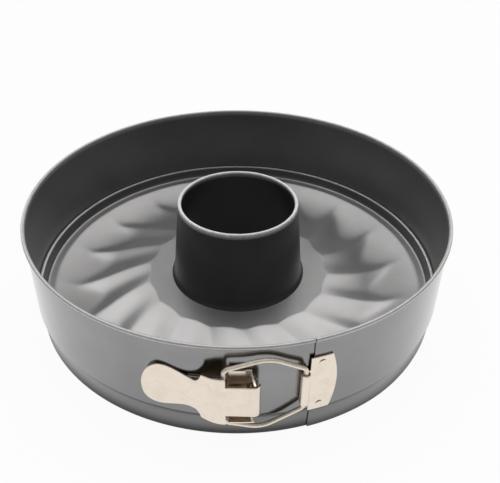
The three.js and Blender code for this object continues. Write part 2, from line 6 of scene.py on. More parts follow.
import bmesh
import bpy
import numpy as np
from bpy.props import FloatProperty, FloatVectorProperty, IntProperty, PointerProperty
from mathutils import Matrix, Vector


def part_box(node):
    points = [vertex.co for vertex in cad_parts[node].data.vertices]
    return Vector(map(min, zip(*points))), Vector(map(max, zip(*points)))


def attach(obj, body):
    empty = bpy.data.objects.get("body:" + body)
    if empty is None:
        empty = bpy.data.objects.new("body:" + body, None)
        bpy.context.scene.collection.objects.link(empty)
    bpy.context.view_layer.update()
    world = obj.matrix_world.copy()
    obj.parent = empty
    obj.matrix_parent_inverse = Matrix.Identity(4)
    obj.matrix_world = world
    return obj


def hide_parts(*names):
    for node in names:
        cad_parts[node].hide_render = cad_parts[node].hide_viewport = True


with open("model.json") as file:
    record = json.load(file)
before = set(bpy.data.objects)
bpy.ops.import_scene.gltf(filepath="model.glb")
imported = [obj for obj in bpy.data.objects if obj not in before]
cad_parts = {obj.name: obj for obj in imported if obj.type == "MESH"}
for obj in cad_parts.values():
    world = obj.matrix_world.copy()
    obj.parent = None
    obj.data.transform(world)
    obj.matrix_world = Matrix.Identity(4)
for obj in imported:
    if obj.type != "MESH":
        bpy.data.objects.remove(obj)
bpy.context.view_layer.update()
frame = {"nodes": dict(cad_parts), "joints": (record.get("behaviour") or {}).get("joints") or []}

bl_info = {
    "name": "Springform tube pan",
    "version": (1, 0, 0),
    "blender": (4, 5, 0),
    "location": "View3D > Sidebar > Tube Pan",
    "description": "Builds the visible pieces, finishes and studio stage of a springform tube pan",
    "category": "Object",
}

MM = 0.001
TUBE_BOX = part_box("centre_tube")
AXIS = np.array([(TUBE_BOX[0][k] + TUBE_BOX[1][k]) / 2 for k in (0, 1)] + [0.0])
PIVOTS = {
    joint["name"]: (np.array(joint["pos_m"]) - AXIS) / MM
    for joint in frame["joints"] if "pos_m" in joint
}
TURN = 2 * math.pi
BEND_STEPS = 6  # points in one rounded bend
WIRE_STEPS = 9  # points in one bend of the wire
STEP = 0.04  # run of an upright edge in a sheet's outline
CORNER = 0.3  # rounding of that edge's two ends
PAN_CREASE, CLASP_CREASE = 50.0, 40.0  # angles in degrees from which edges are sharp


def millimetres(name, description, value):
    """A length that is stored in millimetres, as the pan's drawing gives it."""
    return FloatProperty(name=name, description=description, default=value, precision=2)


def degrees(name, description, value):
    """An angle that is stored in radians and shown in degrees."""
    return FloatProperty(name=name, description=description, default=math.radians(value), subtype="ANGLE")


def colour(name, description, value):
    """A linear colour."""
    return FloatVectorProperty(
        name=name, description=description, default=value, size=3, min=0.0, max=1.0, subtype="COLOR"
    )


def share(name, description, value):
    """A value from nothing to all."""
    return FloatProperty(
        name=name, description=description, default=value, min=0.0, max=1.0, subtype="FACTOR"
    )


def whole_number(name, description, value, least):
    """A whole number of sections or flutes."""
    return IntProperty(name=name, description=description, default=value, min=least)


def brightness(name, description, value):
    """A brightness, where one is white."""
    return FloatProperty(name=name, description=description, default=value, min=0.0)


class RingSizes(bpy.types.PropertyGroup):
    """Sizes of the coated steel strip."""

    wall_radius: millimetres("Wall radius", "Outside of the wall, from the pan's axis", 131.1)
    height: millimetres("Height", "From the table to the top of the rim", 66.98)
    sheet: millimetres("Sheet", "Thickness of the strip", 0.6)
    bead_radius: millimetres("Rim bead", "Radius of the rolled rim", 1.11)
    skirt_height: millimetres("Skirt height", "Height of the ledge that carries the base", 15.6)
    skirt_inset: millimetres("Skirt inset", "How far the skirt steps in under the ledge", 1.0)
    skirt_taper: millimetres("Skirt taper", "How far the skirt leans in towards the table", 0.9)
    bend: millimetres("Bend", "Radius of the bends at the ledge", 0.9)
    seam: degrees("Seam", "Angle of the outer end of the strip, from the front", 16.7)
    lap: degrees("Lap", "Angle over which the two ends lie on each other", 15.0)
    joggle_start: degrees("Joggle start", "Angle between the lap and the joggle", 2.0)
    joggle: degrees("Joggle", "Angle over which the outer end steps out", 25.0)
    butt: degrees("Butt", "Gap in the rim where it meets itself", 0.22)
    lap_gap: millimetres("Lap gap", "Space between the lapped ends", 0.3)
    stations: whole_number("Stations", "Sections along the strip", 600, 60)


class BaseSizes(bpy.types.PropertyGroup):
    """Sizes of the pressed base."""

    sheet: millimetres("Sheet", "Thickness of the base", 0.8)
    bead_radius: millimetres("Bead", "Radius of the rolled edge", 1.1)
    bead_reach: millimetres("Bead reach", "Radius of the middle of the rolled edge", 129.0)
    bead_height: millimetres("Bead height", "Height of the middle of the rolled edge", 16.87)
    band_drop: millimetres("Band drop", "Height of the rolled edge over the flat band", 5.5)
    band_inner: millimetres("Band inner radius", "Where the flat band turns down into the channel", 121.0)
    slope: millimetres("Slope width", "From the middle of the rolled edge to the foot of its slope", 3.8)
    channel_radius: millimetres("Channel radius", "Where the dished side reaches its lowest line", 87.725)
    channel_depth: millimetres("Channel depth", "Depth of that line under the band", 9.0)
    flat_radius: millimetres("Flat radius", "Outside of the flat ring round the tube", 60.5)
    hole_radius: millimetres("Hole radius", "Hole that the tube's neck passes through", 42.7)
    valley_reach: millimetres("Valley reach", "Radius where a scallop's ramp ends", 90.75)
    ridge_reach: millimetres("Ridge reach", "Radius where a ridge's ramp ends", 106.3)
    scallop: millimetres("Scallop", "Depth of a scallop into the flat ring", 2.0)
    crest: share("Crest rounding", "Rounding of a ridge's crest, as a share of its wave", 0.14)
    flute_count: whole_number("Flutes", "Number of flutes", 18, 3)
    swirl: degrees("Swirl", "Turn of a flute from its outer to its inner end", 12.3)
    phase: degrees("Phase", "Turn of the whole pattern", -3.8)
    steps: whole_number("Steps", "Sections in one flute", 24, 6)


class TubeSizes(bpy.types.PropertyGroup):
    """Sizes of the centre tube."""

    height: millimetres("Height", "Over the flat ring", 54.4)
    foot_radius: millimetres("Foot radius", "Outside, at the flat ring", 44.4)
    neck_radius: millimetres("Neck radius", "Outside, in the base's hole", 42.6)
    wall_radius: millimetres("Wall radius", "Outside, where the wall meets the flared foot", 42.7)
    flare: millimetres("Flare", "Height of the flared foot", 2.3)
    rim_radius: millimetres("Rim radius", "Outside, at the rim", 38.3)
    sheet: millimetres("Sheet", "Thickness of the wall", 0.8)
    bead_radius: millimetres("Bead", "Radius of the rolled rim", 1.1)
    crimp: millimetres("Crimp", "Width of the crimp under the base", 2.4)
    gap: millimetres("Gap", "Space between the crimp and the base", 0.1)
    stations: whole_number("Stations", "Sections round the tube", 192, 48)


class ClaspSizes(bpy.types.PropertyGroup):
    """Sizes of the lever, bail and keeper."""

    sheet: millimetres("Sheet", "Thickness of the lever and the keeper", 0.99)
    edge: millimetres("Edge", "Rounding of the sheet's edges", 0.32)
    tilt: degrees("Lever tilt", "Turn of the tongue from the front", 2.0)
    front: millimetres("Lever front", "From the pin's axis to the tongue's face", 3.395)
    curl_end: degrees("Curl end", "Where the tongue's curl round the pin ends", 185.0)
    length: millimetres("Lever length", "From the pin's axis to the paddle's end", 57.3)
    tongue: millimetres("Tongue", "Half height of the tongue", 10.2)
    shoulder: millimetres("Shoulder", "Half height of the shoulders at their end", 15.5)
    shoulder_low: millimetres("Lower shoulder", "Depth of the lower shoulder at its start", 16.8)
    shoulder_start: millimetres("Shoulder start", "From the pin's axis", 14.0)
    shoulder_end: millimetres("Shoulder end", "From the pin's axis, on the upper side", 25.8)
    shoulder_low_end: millimetres("Lower shoulder end", "From the pin's axis, on the lower side", 26.4)
    waist: millimetres("Waist", "Height of the waist over the clasp's middle", 9.5)
    waist_low: millimetres("Lower waist", "Depth of the waist under the clasp's middle", 11.2)
    waist_run: millimetres("Waist run", "From the upper shoulder to the waist", 4.5)
    waist_low_run: millimetres("Lower waist run", "From the lower shoulder to the waist", 3.4)
    paddle: millimetres("Paddle", "Half height of the paddle", 14.2)
    paddle_end: millimetres("Paddle end", "Length of the paddle's rounded end", 10.3)
    paddle_slim: FloatProperty(name="Upper end", description="Power of the upper end's curve", default=1.1)
    paddle_full: FloatProperty(name="Lower end", description="Power of the lower end's curve", default=0.72)
    wall_half: millimetres("Side wall", "Half width over the lever's side walls", 4.5)
    wire: millimetres("Wire", "Radius of the bail's wire", 1.2)
    keeper_half: millimetres("Keeper", "Half height of the keeper's plate", 19.0)
    keeper_curl: millimetres("Keeper curl", "Half height of the curl round the bail", 10.8)
    keeper_length: millimetres("Keeper length", "From the bail's axis to the bowed edge", 18.0)
    keeper_bow: millimetres("Keeper bow", "Depth of the bowed edge", 3.2)
    fit: millimetres("Running fit", "Room round the bail in the keeper's curl", 0.25)
    rivet: millimetres("Rivet head", "Radius of a rivet's head", 1.9)
    rivet_half: millimetres("Rivet place", "Height of a keeper rivet over the clasp's middle", 15.0)
    rivet_reach: millimetres("Rivet reach", "From the bail's axis to the keeper's rivets", 9.3)


class Finishes(bpy.types.PropertyGroup):
    """Colours and gloss of the coating and the plating."""

    ring_tone: colour("Ring coating", "Dark grey coating of the ring", (0.262, 0.26, 0.262))
    ring_inner: colour("Ring inside", "Coating of the ring inside", (0.19, 0.192, 0.192))
    base_tone: colour("Base coating", "Grey coating of the base", (0.41, 0.403, 0.401))
    # Painted shade: the tube's tone is kept far darker than the base's to stand for the shade on its upright
    # wall.
    tube_shaded_tone: colour("Tube coating", "Coating of the tube", (0.082, 0.084, 0.084))
    coating_worn: colour("Rubbed coating", "Coating where it is rubbed thin", (0.9, 0.885, 0.87))
    coating_metal: share("Coating flake", "Share of metal flake in the coating inside", 0.72)
    coat: share("Clear coat", "Share of clear coat outside", 0.4)
    coating_gloss: share("Coating roughness", "Roughness of the coating outside", 0.17)
    coating_satin: share("Inner roughness", "Roughness of the non-stick coating inside", 0.36)
    nickel: colour("Nickel", "Warm plating of the clasp", (0.83, 0.745, 0.64))
    wire_tone: colour("Wire", "Brighter plating of the bail's wire", (0.94, 0.85, 0.735))
    nickel_shade: colour("Shaded nickel", "Plating in scratches and folds", (0.55, 0.45, 0.35))
    nickel_gloss: share("Nickel roughness", "Roughness of the plating", 0.24)
    wire_gloss: share("Wire roughness", "Roughness of the wire's plating", 0.54)


class StageSizes(bpy.types.PropertyGroup):
    """Camera and lights."""

    distance: millimetres("Camera distance", "From the middle of the pan's foot", 464.038)
    elevation: degrees("Camera elevation", "Of the camera over the table", 39.086)
    pitch: degrees("Camera pitch", "Downward tilt", 35.707)
    yaw: degrees("Camera yaw", "Turn to the right", 1.263)
    roll: degrees("Camera roll", "Turn about the line of sight", 0.849)
    sensor: FloatProperty(name="Sensor", description="Width of the sensor", default=36.0, unit="CAMERA")
    lens: FloatProperty(name="Lens", description="Focal length", default=48.24, unit="CAMERA")
    overhead: brightness("Overhead", "Brightness of the ceiling panel", 1.9)
    behind: brightness("Behind", "Brightness of the side panels behind", 1.6)
    gap: brightness("Gap", "Brightness of the gap straight behind", 0.1)
    room: share("Room light", "Grey of the room in front of the table", 0.25)


def smoothstep(value, low, high):
    """Cubic ease from 0 at low to 1 at high."""
    t = np.clip((value - low) / (high - low), 0, 1)
    return t * t * (3 - 2 * t)


def soft_floor(value, size):
    """The larger of a value and nought, with the corner rounded over a size."""
    return 0.5 * (value + np.sqrt(value**2 + size**2))


def unit(vectors):
    """Vectors brought to length one."""
    return vectors / np.maximum(np.linalg.norm(vectors, axis=-1, keepdims=True), 1e-12)


def bezier(corners, count):
    """Points of the curve that two, three or four control points shape."""
    t = np.linspace(0, 1, count)[:, None]
    line = [np.asarray(corner, float)[None, :] for corner in corners]
    while len(line) > 1:
        line = [(1 - t) * a + t * b for a, b in zip(line, line[1:])]
    return line[0]


def rounded(corners, radii, steps=BEND_STEPS):
    """A closed line whose corners become parabolic bends, each from one radius before to one after."""
    corners = np.asarray(corners, float)
    radii = np.broadcast_to(np.asarray(radii, float), len(corners))[:, None]
    enter = corners + unit(np.roll(corners, 1, 0) - corners) * radii
    leave = corners + unit(np.roll(corners, -1, 0) - corners) * radii
    t = np.linspace(0, 1, steps)[None, :, None]
    bends = (1 - t) ** 2 * enter[:, None] + 2 * t * (1 - t) * corners[:, None] + t**2 * leave[:, None]
    return bends.reshape(-1, corners.shape[1])


def bent(corners, radii):
    """An open line with rounded corners, without its first and last corner."""
    return rounded(corners, radii)[BEND_STEPS:-BEND_STEPS]


def spaced(line, step, closed=True):
    """The same line with points added, evenly, wherever two lie more than a step apart."""
    after = np.roll(line, -1, 0)
    counts = np.maximum(np.ceil(np.linalg.norm(after - line, axis=1) / step).astype(int), 1)
    counts[-1] = counts[-1] if closed else 1
    index = np.repeat(np.arange(len(line)), counts)
    start = np.repeat(np.cumsum(counts) - counts, counts)
    part = ((np.arange(len(index)) - start) / counts[index])[:, None]
    return line[index] * (1 - part) + after[index] * part


def arc(centre, radius, start, end, count):
    """Points of a circle's arc between two angles in degrees."""
    angle = np.radians(np.linspace(start, end, count))
    return np.stack([centre[0] + radius * np.cos(angle), centre[1] + radius * np.sin(angle)], 1)


def turned(sections, angles, turn=0.0):
    """Sections (r, z), one for each angle from the front, placed about the pan's axis."""
    sections = np.broadcast_to(sections, (len(angles),) + np.shape(sections)[-2:])
    angle = angles[:, None] + turn
    r, z = sections[..., 0], sections[..., 1]
    return np.stack([r * np.sin(angle), -r * np.cos(angle), np.broadcast_to(z, r.shape)], -1)


def quads(shape, around, along):
    """Faces over a grid of points; a direction that closes joins its last points to its first."""
    rows, cols = shape[:2]
    i = np.arange(rows if around else rows - 1)[:, None]
    j = np.arange(cols if along else cols - 1)[None, :]
    p, q = (i + 1) % rows, (j + 1) % cols
    faces = np.stack(np.broadcast_arrays(i * cols + j, p * cols + j, p * cols + q, i * cols + q), -1)
    return faces.reshape(-1, 4).tolist()


def ends(shape):
    """Flat faces over the first and the last section of an open sweep."""
    rows, cols = shape[:2]
    return [list(range(cols)), list(range(rows * cols - 1, (rows - 1) * cols - 1, -1))]


def swept(points):
    """Points and faces of an open sweep of closed sections, with its two ends closed."""
    return points.reshape(-1, 3), quads(points.shape, False, True) + ends(points.shape)


def joined(*shells):
    """Several closed shells as one set of points and faces."""
    starts = np.cumsum([0] + [len(points) for points, _ in shells])
    faces = [[start + index for index in face] for start, (_, part) in zip(starts, shells) for face in part]
    return np.concatenate([points for points, _ in shells]), faces


def mesh_object(name, points, faces, finish, sharp=PAN_CREASE):
    """A mesh from points in millimetres about the pan's axis.

    Its faces point outwards, and it is shaded smooth except at edges sharper than an angle in degrees.
    """
    mesh = bpy.data.meshes.new(name)
    mesh.from_pydata((points.reshape(-1, 3) * MM + AXIS).tolist(), [], faces)
    shell = bmesh.new()
    shell.from_mesh(mesh)
    if shell.calc_volume(signed=True) < 0:
        mesh.flip_normals()
    shell.free()
    mesh.shade_smooth()
    mesh.set_sharp_from_angle(angle=math.radians(sharp))
    mesh.materials.append(finish)
    piece = bpy.data.objects.new(name, mesh)
    bpy.context.scene.collection.objects.link(piece)
    return piece


def mark(piece, name, values):
    """A number for each point of a piece, for its material to read."""
    layer = piece.data.attributes.new(name, "FLOAT", "POINT")
    layer.data.foreach_set("value", np.ascontiguousarray(values, np.float32).ravel())


def take_place(piece, body, slot, *nodes):
    """Puts a piece on its body in place of the solids it stands for."""
    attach(piece, body)
    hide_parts(*nodes)


LAP_STATIONS = 24
RIM_POINTS = 22
WALL_STEP = 1.5  # longest step between points on the strip's wall
LEDGE_CLEAR, RIM_CLEAR = 4, 2  # from the ledge up, and from the rim down, to the wall's straight part
CUT_EDGE = 0.2  # rounding of the strip's cut edges
TUCK = 1.2  # from the top of the strip's inner end to the last points on its wall


def ring_sections(sizes):
    """Sections along the strip, from the seam round to the inner end: skirt, ledge, wall and rolled rim.

    The outer end's wall stands out by a sheet and a gap, and eases back over the joggle. The inner end
    runs on under it, and has a rounded cut edge in place of the rim.
    """
    lap, butt, inner, bead = sizes.lap, sizes.butt, -sizes.sheet, sizes.bead_radius
    whole = np.linspace(0, TURN - butt, sizes.stations)
    travel = np.concatenate([whole, np.linspace(TURN - butt / 2, TURN + lap, LAP_STATIONS)])
    step = sizes.sheet + sizes.lap_gap
    joggle = lap + sizes.joggle_start
    offset = step * (1 - smoothstep(travel, joggle, joggle + sizes.joggle))
    shift = offset[:, None, None] * [1, 0]
    tucked = (np.arange(len(travel)) >= len(whole))[:, None]
    low, inset, taper = sizes.skirt_height, sizes.skirt_inset, sizes.skirt_taper
    under, half = low - sizes.sheet / 2, sizes.height / 2
    outside = bent(
        [(inner, low), (-inset - taper, 0), (-inset, under), (0, under + inset), (0, half)],
        [0, CUT_EDGE, sizes.bend, sizes.bend, 0],
    )
    inside = bent(
        [(inner, half), (inner, low + inset), (inner - inset, low), (inner - inset - taper, 0), (0, 0)],
        [0, sizes.bend, sizes.bend, CUT_EDGE, 0],
    )
    wall_top = sizes.height - 2 * bead
    wall = np.array([low + LEDGE_CLEAR, wall_top - RIM_CLEAR])
    lower = spaced(np.concatenate([outside, np.stack([0 * wall, wall], 1)]), WALL_STEP, False)
    upper = np.concatenate([np.stack([0 * wall + inner, wall[::-1]], 1), inside])
    upper = spaced(upper, WALL_STEP, False)
    centre = inner + bead
    join = -np.arccos(np.clip((offset - centre) / bead, -1, 1))[:, None]
    round_rim = np.linspace(0, 1, RIM_POINTS)
    angle = join + (math.pi - join) * round_rim
    rim = np.stack([centre + bead * np.cos(angle), sizes.height - bead + bead * np.sin(angle)], -1)
    top = wall_top - step
    foot = top - TUCK
    steps = RIM_POINTS // 2
    edge = rounded([(0, foot), (0, top), (inner, top), (inner, foot)], CUT_EDGE, steps)[steps:-steps]
    rim = np.where(tucked[..., None], edge + shift, rim)
    sections = np.concatenate([lower + shift, rim, upper + shift], 1)
    limit = np.full(sections.shape[1], foot)
    limit[len(lower):-len(upper)] = top
    sections[..., 1] = np.where(tucked, np.minimum(sections[..., 1], limit), sections[..., 1])
    sections[..., 0] += sizes.wall_radius
    within = np.concatenate([np.zeros(len(lower)), round_rim, np.ones(len(upper))])
    return sections, sizes.seam + travel, within


RIM_WEAR, FOOT_WEAR = 0.55, 0.4  # how much the coating is rubbed on the rim and on the foot
RIM_WORN = (2.4, 1.2)  # depths under the top where the rim's wear starts and is full
FOOT_WORN = 1.2  # height over which the foot's wear fades
SKIRT_PAINTED_SHADE, WALL_PAINTED_SHADE, LEDGE_PAINTED_SHADOW = 0.2, 0.2, 0.4  # how much painted shade darkens each: the shadowed floor reflected in the skirt and lower wall, and a painted shadow under the ledge
WALL_FADE = (10.0, 52.0)  # heights between which the wall's painted shade fades
LEDGE_RISE, LEDGE_FADE = (13.0, 14.8), (16.2, 17.4)  # heights where the painted shadow under the ledge begins and ends


class PAN_OT_ring_band(bpy.types.Operator):
    """Build the coated ring: one section of skirt, ledge, wall and rim carried round the axis"""

    bl_idname = "tube_pan.ring_band"
    bl_label = "Ring band"

    def execute(self, context):
        sizes = context.scene.pan_ring
        sections, angles, within = ring_sections(sizes)
        points, faces = swept(turned(sections, angles))
        tones = context.scene.pan_finishes
        finish = coating_material(context, "coated_ring", tones.ring_tone, tones.ring_inner)
        piece = mesh_object("ring_band_formed", points, faces, finish)
        height = sections[..., 1]
        rim = smoothstep(height, *(sizes.height - np.array(RIM_WORN)))
        foot = 1 - smoothstep(height, 0, FOOT_WORN)
        mark(piece, "rub", np.maximum(RIM_WEAR * rim, FOOT_WEAR * foot))
        mark(piece, "inside", np.broadcast_to(within, height.shape))
        # Painted shade, darker towards the bottom: the skirt and the lower wall carry the floor's contact
        # shadow that they reflect, and a thin band under the ledge carries a painted shadow.
        skirt = SKIRT_PAINTED_SHADE * (height < sizes.skirt_height)
        wall = WALL_PAINTED_SHADE * (1 - smoothstep(height, *WALL_FADE))
        ledge = LEDGE_PAINTED_SHADOW * smoothstep(height, *LEDGE_RISE) * (1 - smoothstep(height, *LEDGE_FADE))
        mark(piece, "painted_shade", (skirt + wall + ledge) * (1 - within))
        take_place(piece, "ring", "ring_coating", "ring_band")
        return {"FINISHED"}


FLUTE_ROUND = (0.015, 0.14)  # rounding of a ramp's inner and outer end, as shares of its length
SLOPE_POINTS = 12
BAND_RUN = 2.4  # width of the flat band outside the channel that is cut into steps
RADIAL_POINTS = (4, 52, 18, 5)  # on the band, the channel, the ramps' inner ends and the flat ring


def flat_height(sizes):
    """Height of the flat ring round the tube, a little under the band."""
    return sizes.bead_height - sizes.band_drop - sizes.sheet / 4


def flute_heights(sizes, radii, angles):
    """Height of the base for each angle and radius.

    A dish rises outwards from the channel as the square of the distance. On it stands a ramp that falls
    from the flat ring; it reaches further out on a ridge, where the folded sine wave is small, than in
    the scallop between two ridges.
    """
    floor = sizes.bead_height - sizes.band_drop - sizes.channel_depth
    out = np.clip((radii - sizes.channel_radius) / (sizes.band_inner - sizes.channel_radius), 0, 1)
    wave = np.hypot(np.sin(0.5 * sizes.flute_count * angles[:, None]), sizes.crest)
    ridge = (1 - wave) / (1 - sizes.crest)
    start = sizes.flat_radius - sizes.scallop * (1 - ridge)
    reach = sizes.valley_reach + (sizes.ridge_reach - sizes.valley_reach) * ridge
    fall = soft_floor((radii - start) / (reach - start), FLUTE_ROUND[0])
    fall = 1 - soft_floor(1 - fall, FLUTE_ROUND[1])
    return floor + sizes.channel_depth * out**2 + (flat_height(sizes) - floor) * (1 - fall)


def base_sections(sizes, angles):
    """Top of the base from its rolled edge inwards: slope, band, fluted channel and flat ring."""
    band, flat = sizes.bead_height - sizes.band_drop, flat_height(sizes)
    # Control points as shares of the edge's radius, the slope's width and the drop to the band.
    slope = bezier([
        (sizes.bead_reach - 0.8 * sizes.bead_radius, sizes.bead_height + 0.6 * sizes.bead_radius),
        (sizes.bead_reach - 0.5 * sizes.slope, band + 0.55 * sizes.band_drop),
        (sizes.bead_reach - 0.6 * sizes.slope, band),
        (sizes.bead_reach - 1.15 * sizes.slope, band),
    ], SLOPE_POINTS)
    ramps = sizes.flat_radius + 2 * sizes.scallop
    level = sizes.flat_radius - 1.2 * sizes.scallop
    on_band, on_channel, on_ramps, on_flat = RADIAL_POINTS
    radii = np.concatenate([
        np.linspace(sizes.band_inner + BAND_RUN, sizes.band_inner, on_band)[:-1],
        np.linspace(sizes.band_inner, ramps, on_channel)[:-1],
        np.linspace(ramps, level, on_ramps),
        np.linspace(level - sizes.scallop, sizes.hole_radius, on_flat),
    ])
    highest = np.where(radii < sizes.channel_radius, flat, band)
    height = np.minimum(flute_heights(sizes, radii, angles), highest)
    height[:, radii <= level] = flat
    slopes = np.broadcast_to(slope, (len(angles),) + slope.shape)
    flutes = np.stack([np.broadcast_to(radii, height.shape), height], -1)
    return np.concatenate([slopes, flutes], 1)


BEAD_POINTS = 18
BEAD_ARC = (-150, 140)  # angles in degrees where the rolled edge starts and ends
BEAD_WORN = slice(4, BEAD_POINTS - 1)  # points of the rolled edge that are rubbed
SLOPE_SHADED = slice(BEAD_POINTS + 1, BEAD_POINTS + 9)  # points of the slope under it that get painted shade
SLOPE_PAINTED_SHADE, FLAT_PAINTED_SHADE = 0.6, 0.09  # how much painted shade darkens the slope and the flat ring


class PAN_OT_base_plate(bpy.types.Operator):
    """Build the fluted base: a height for each radius and angle, thickened downwards, with a rolled edge"""

    bl_idname = "tube_pan.base_plate"
    bl_label = "Fluted base"

    def execute(self, context):
        sizes = context.scene.pan_base
        stations = sizes.flute_count * sizes.steps
        angles = np.arange(stations) * TURN / stations
        top = base_sections(sizes, angles)
        along = unit(np.gradient(top, axis=1))
        down = np.stack([-along[..., 1], along[..., 0]], -1)
        under = (top + sizes.sheet * down)[:, ::-1][:, ::2]
        under[:, 0, 0] = sizes.hole_radius
        middle = (sizes.bead_reach, sizes.bead_height)
        bead = arc(middle, sizes.bead_radius, *BEAD_ARC, BEAD_POINTS)
        sections = np.concatenate([np.broadcast_to(bead, (stations,) + bead.shape), top, under], 1)
        radii = sections[..., 0]
        inward = (sizes.ridge_reach - radii) / (sizes.ridge_reach - sizes.flat_radius)
        points = turned(sections, angles, sizes.phase - sizes.swirl * np.clip(inward, 0, 1))
        finish = coating_material(context, "coated_base", context.scene.pan_finishes.base_tone)
        piece = mesh_object("base_plate_formed", points, quads(points.shape, True, True), finish)
        rub, painted_shade = np.zeros(radii.shape), np.zeros(radii.shape)
        rub[:, BEAD_WORN] = 1.0
        # Painted shade: the slope under the rolled edge and the flat ring round the tube are darkened.
        painted_shade[:, SLOPE_SHADED] = SLOPE_PAINTED_SHADE
        painted_shade[radii < sizes.flat_radius - sizes.scallop / 2] = FLAT_PAINTED_SHADE
        mark(piece, "rub", rub)
        mark(piece, "painted_shade", painted_shade)
        take_place(piece, "base", "base_coating", "base_plate")
        return {"FINISHED"}


TUBE_STEP = 2.5  # longest step between points on the tube's wall
TUBE_RIM_ARC, TUBE_RIM_POINTS = (0, 215), 20  # angles in degrees where the tube's rim starts and ends
TUBE_LEAN = (0.4, 3)  # a point on the wall, out from the rim and down from its middle
TUBE_BENDS = (0.3, 0.3, 0.3, 0.05, 0.05, 0.15, 1.6, 0)  # from the crimp up to the foot's flare
TUBE_INNER_BENDS = (0, 0.8, 0.8, 0)
TUBE_WORN = (2.1, 1.4)  # depths under the tube's top where the wear starts and is full


def tube_section(sizes, flat, base_sheet):
    """Section of the tube: crimp, neck, shoulder, flared foot, leaning wall and a rolled rim."""
    neck, sheet, flare = sizes.neck_radius, sizes.sheet, sizes.flare
    shoulder = flat + sizes.gap
    crimp = flat - base_sheet - sizes.gap
    bead = (sizes.rim_radius - sizes.bead_radius, flat + sizes.height - sizes.bead_radius)
    lower = rounded(
        [(neck - sheet, crimp - sheet), (neck + sizes.crimp, crimp - sheet), (neck + sizes.crimp, crimp),
         (neck, crimp), (neck, shoulder), (sizes.foot_radius, shoulder),
         (sizes.wall_radius, shoulder + flare), (sizes.rim_radius + TUBE_LEAN[0], bead[1] - TUBE_LEAN[1])],
        TUBE_BENDS,
    )[:-BEND_STEPS]
    rim = arc(bead, sizes.bead_radius, *TUBE_RIM_ARC, TUBE_RIM_POINTS)
    inner = bent(
        [rim[-1], (sizes.wall_radius - sheet, shoulder + flare), (neck - sheet, shoulder),
         (neck - sheet, crimp - sheet)],
        TUBE_INNER_BENDS,
    )
    return spaced(np.concatenate([lower, rim, inner]), TUBE_STEP)


class PAN_OT_centre_tube(bpy.types.Operator):
    """Build the centre tube: one section turned about the axis"""

    bl_idname = "tube_pan.centre_tube"
    bl_label = "Centre tube"

    def execute(self, context):
        sizes, base = context.scene.pan_tube, context.scene.pan_base
        flat = flat_height(base)
        section = tube_section(sizes, flat, base.sheet)
        points = turned(section, np.arange(sizes.stations) * TURN / sizes.stations)
        finish = coating_material(context, "coated_tube", context.scene.pan_finishes.tube_shaded_tone)
        piece = mesh_object("centre_tube_formed", points, quads(points.shape, True, True), finish)
        rim = smoothstep(section[:, 1], *(flat + sizes.height - np.array(TUBE_WORN)))
        mark(piece, "rub", np.broadcast_to(rim, points.shape[:2]))
        take_place(piece, "base", "base_coating", "centre_tube")
        return {"FINISHED"}


def claspwards(origin, turn):
    """Origin and axes of a clasp piece: along the wall away from the keeper, outwards, and up."""
    along = (-math.cos(turn), -math.sin(turn), 0)
    outwards = (math.sin(turn), -math.cos(turn), 0)
    return np.asarray(origin), np.array([along, outwards, (0, 0, 1)])


def oblongs(halves, thickness, edge, across=7):
    """Closed sections of a sheet with rounded edges, one for each half height, as (outwards, up)."""
    halves = np.asarray(halves, float)[:, None]
    bend = np.minimum(edge, halves)
    tall, deep = halves - bend, thickness / 2 - bend
    face = np.linspace(-1, 1, across)[1:-1]
    quarter = np.radians(np.linspace(0, 90, 5))
    corners = [
        np.stack([
            right * deep + bend * np.cos(quarter + start), up * tall + bend * np.sin(quarter + start)
        ], -1)
        for right, up, start in ((1, 1, 0), (-1, 1, TURN / 4), (-1, -1, TURN / 2), (1, -1, TURN * 3 / 4))
    ]
    front = np.stack(np.broadcast_arrays(thickness / 2, tall * face), -1)
    back = np.stack(np.broadcast_arrays(-thickness / 2, -tall * face), -1)
    return np.concatenate([*corners[:2], back, *corners[2:], front], 1)


def plate(path, halves, thickness, edge, origin, axes, middles=0.0):
    """A bent sheet: rounded sections of given half heights and middles carried along a path in plan."""
    ahead = unit(np.gradient(path, axis=0))
    outwards = np.stack([-ahead[:, 1], ahead[:, 0]], 1)
    sections = oblongs(halves, thickness, edge)
    plan = path[:, None] + sections[..., :1] * outwards[:, None]
    tall = sections[..., 1:] + np.broadcast_to(middles, len(path))[:, None, None]
    return swept(origin + np.concatenate([plan, tall], -1) @ axes)


def prism(outline, low, high, origin, axes):
    """A flat outline raised between two heights."""
    levels = np.array([low, high])[:, None, None]
    flat = np.broadcast_to(outline, (2,) + outline.shape)
    local = np.concatenate([flat, np.broadcast_to(levels, flat.shape[:2] + (1,))], -1)
    return swept(origin + local @ axes)


TONGUE_PLACES, SHOULDER_PLACES = (2, 6, 10), (3, 6, 9)  # from the pin's axis, and from the shoulder's start
DROP_POINTS, WIDEN_POINTS, TIP_POINTS, CURL_POINTS = 9, 15, 22, 16
TIP_ARC = 88  # angle in degrees over which the paddle's end is drawn
PADDLE_EASE = 6.0  # how far the curve from waist to paddle stays level at its two ends
DIP = ((17.0, 0.0), (21.5, 0.0), (31.5, 6.5), (40.0, 11.4), (59.0, 12.2))  # along the lever, and inwards
DIP_POINTS = 40
PIN_ARC, PIN_POINTS = (180, 297), 9  # a side wall's round end, in degrees
NOTCH_RADIUS, NOTCH_PLACE, NOTCH_DEPTH, NOTCH_POINTS = 1.85, 14.7, 2.1, 11
WALL_FOOT, WALL_TOE = -2.2, -1.2  # a side wall's inner edge before and after the notch
WALL_LOBE, LOBE_START, LOBE_POINTS = 2.6, 0.4, 6  # width of the lobe after the notch, and where it bends


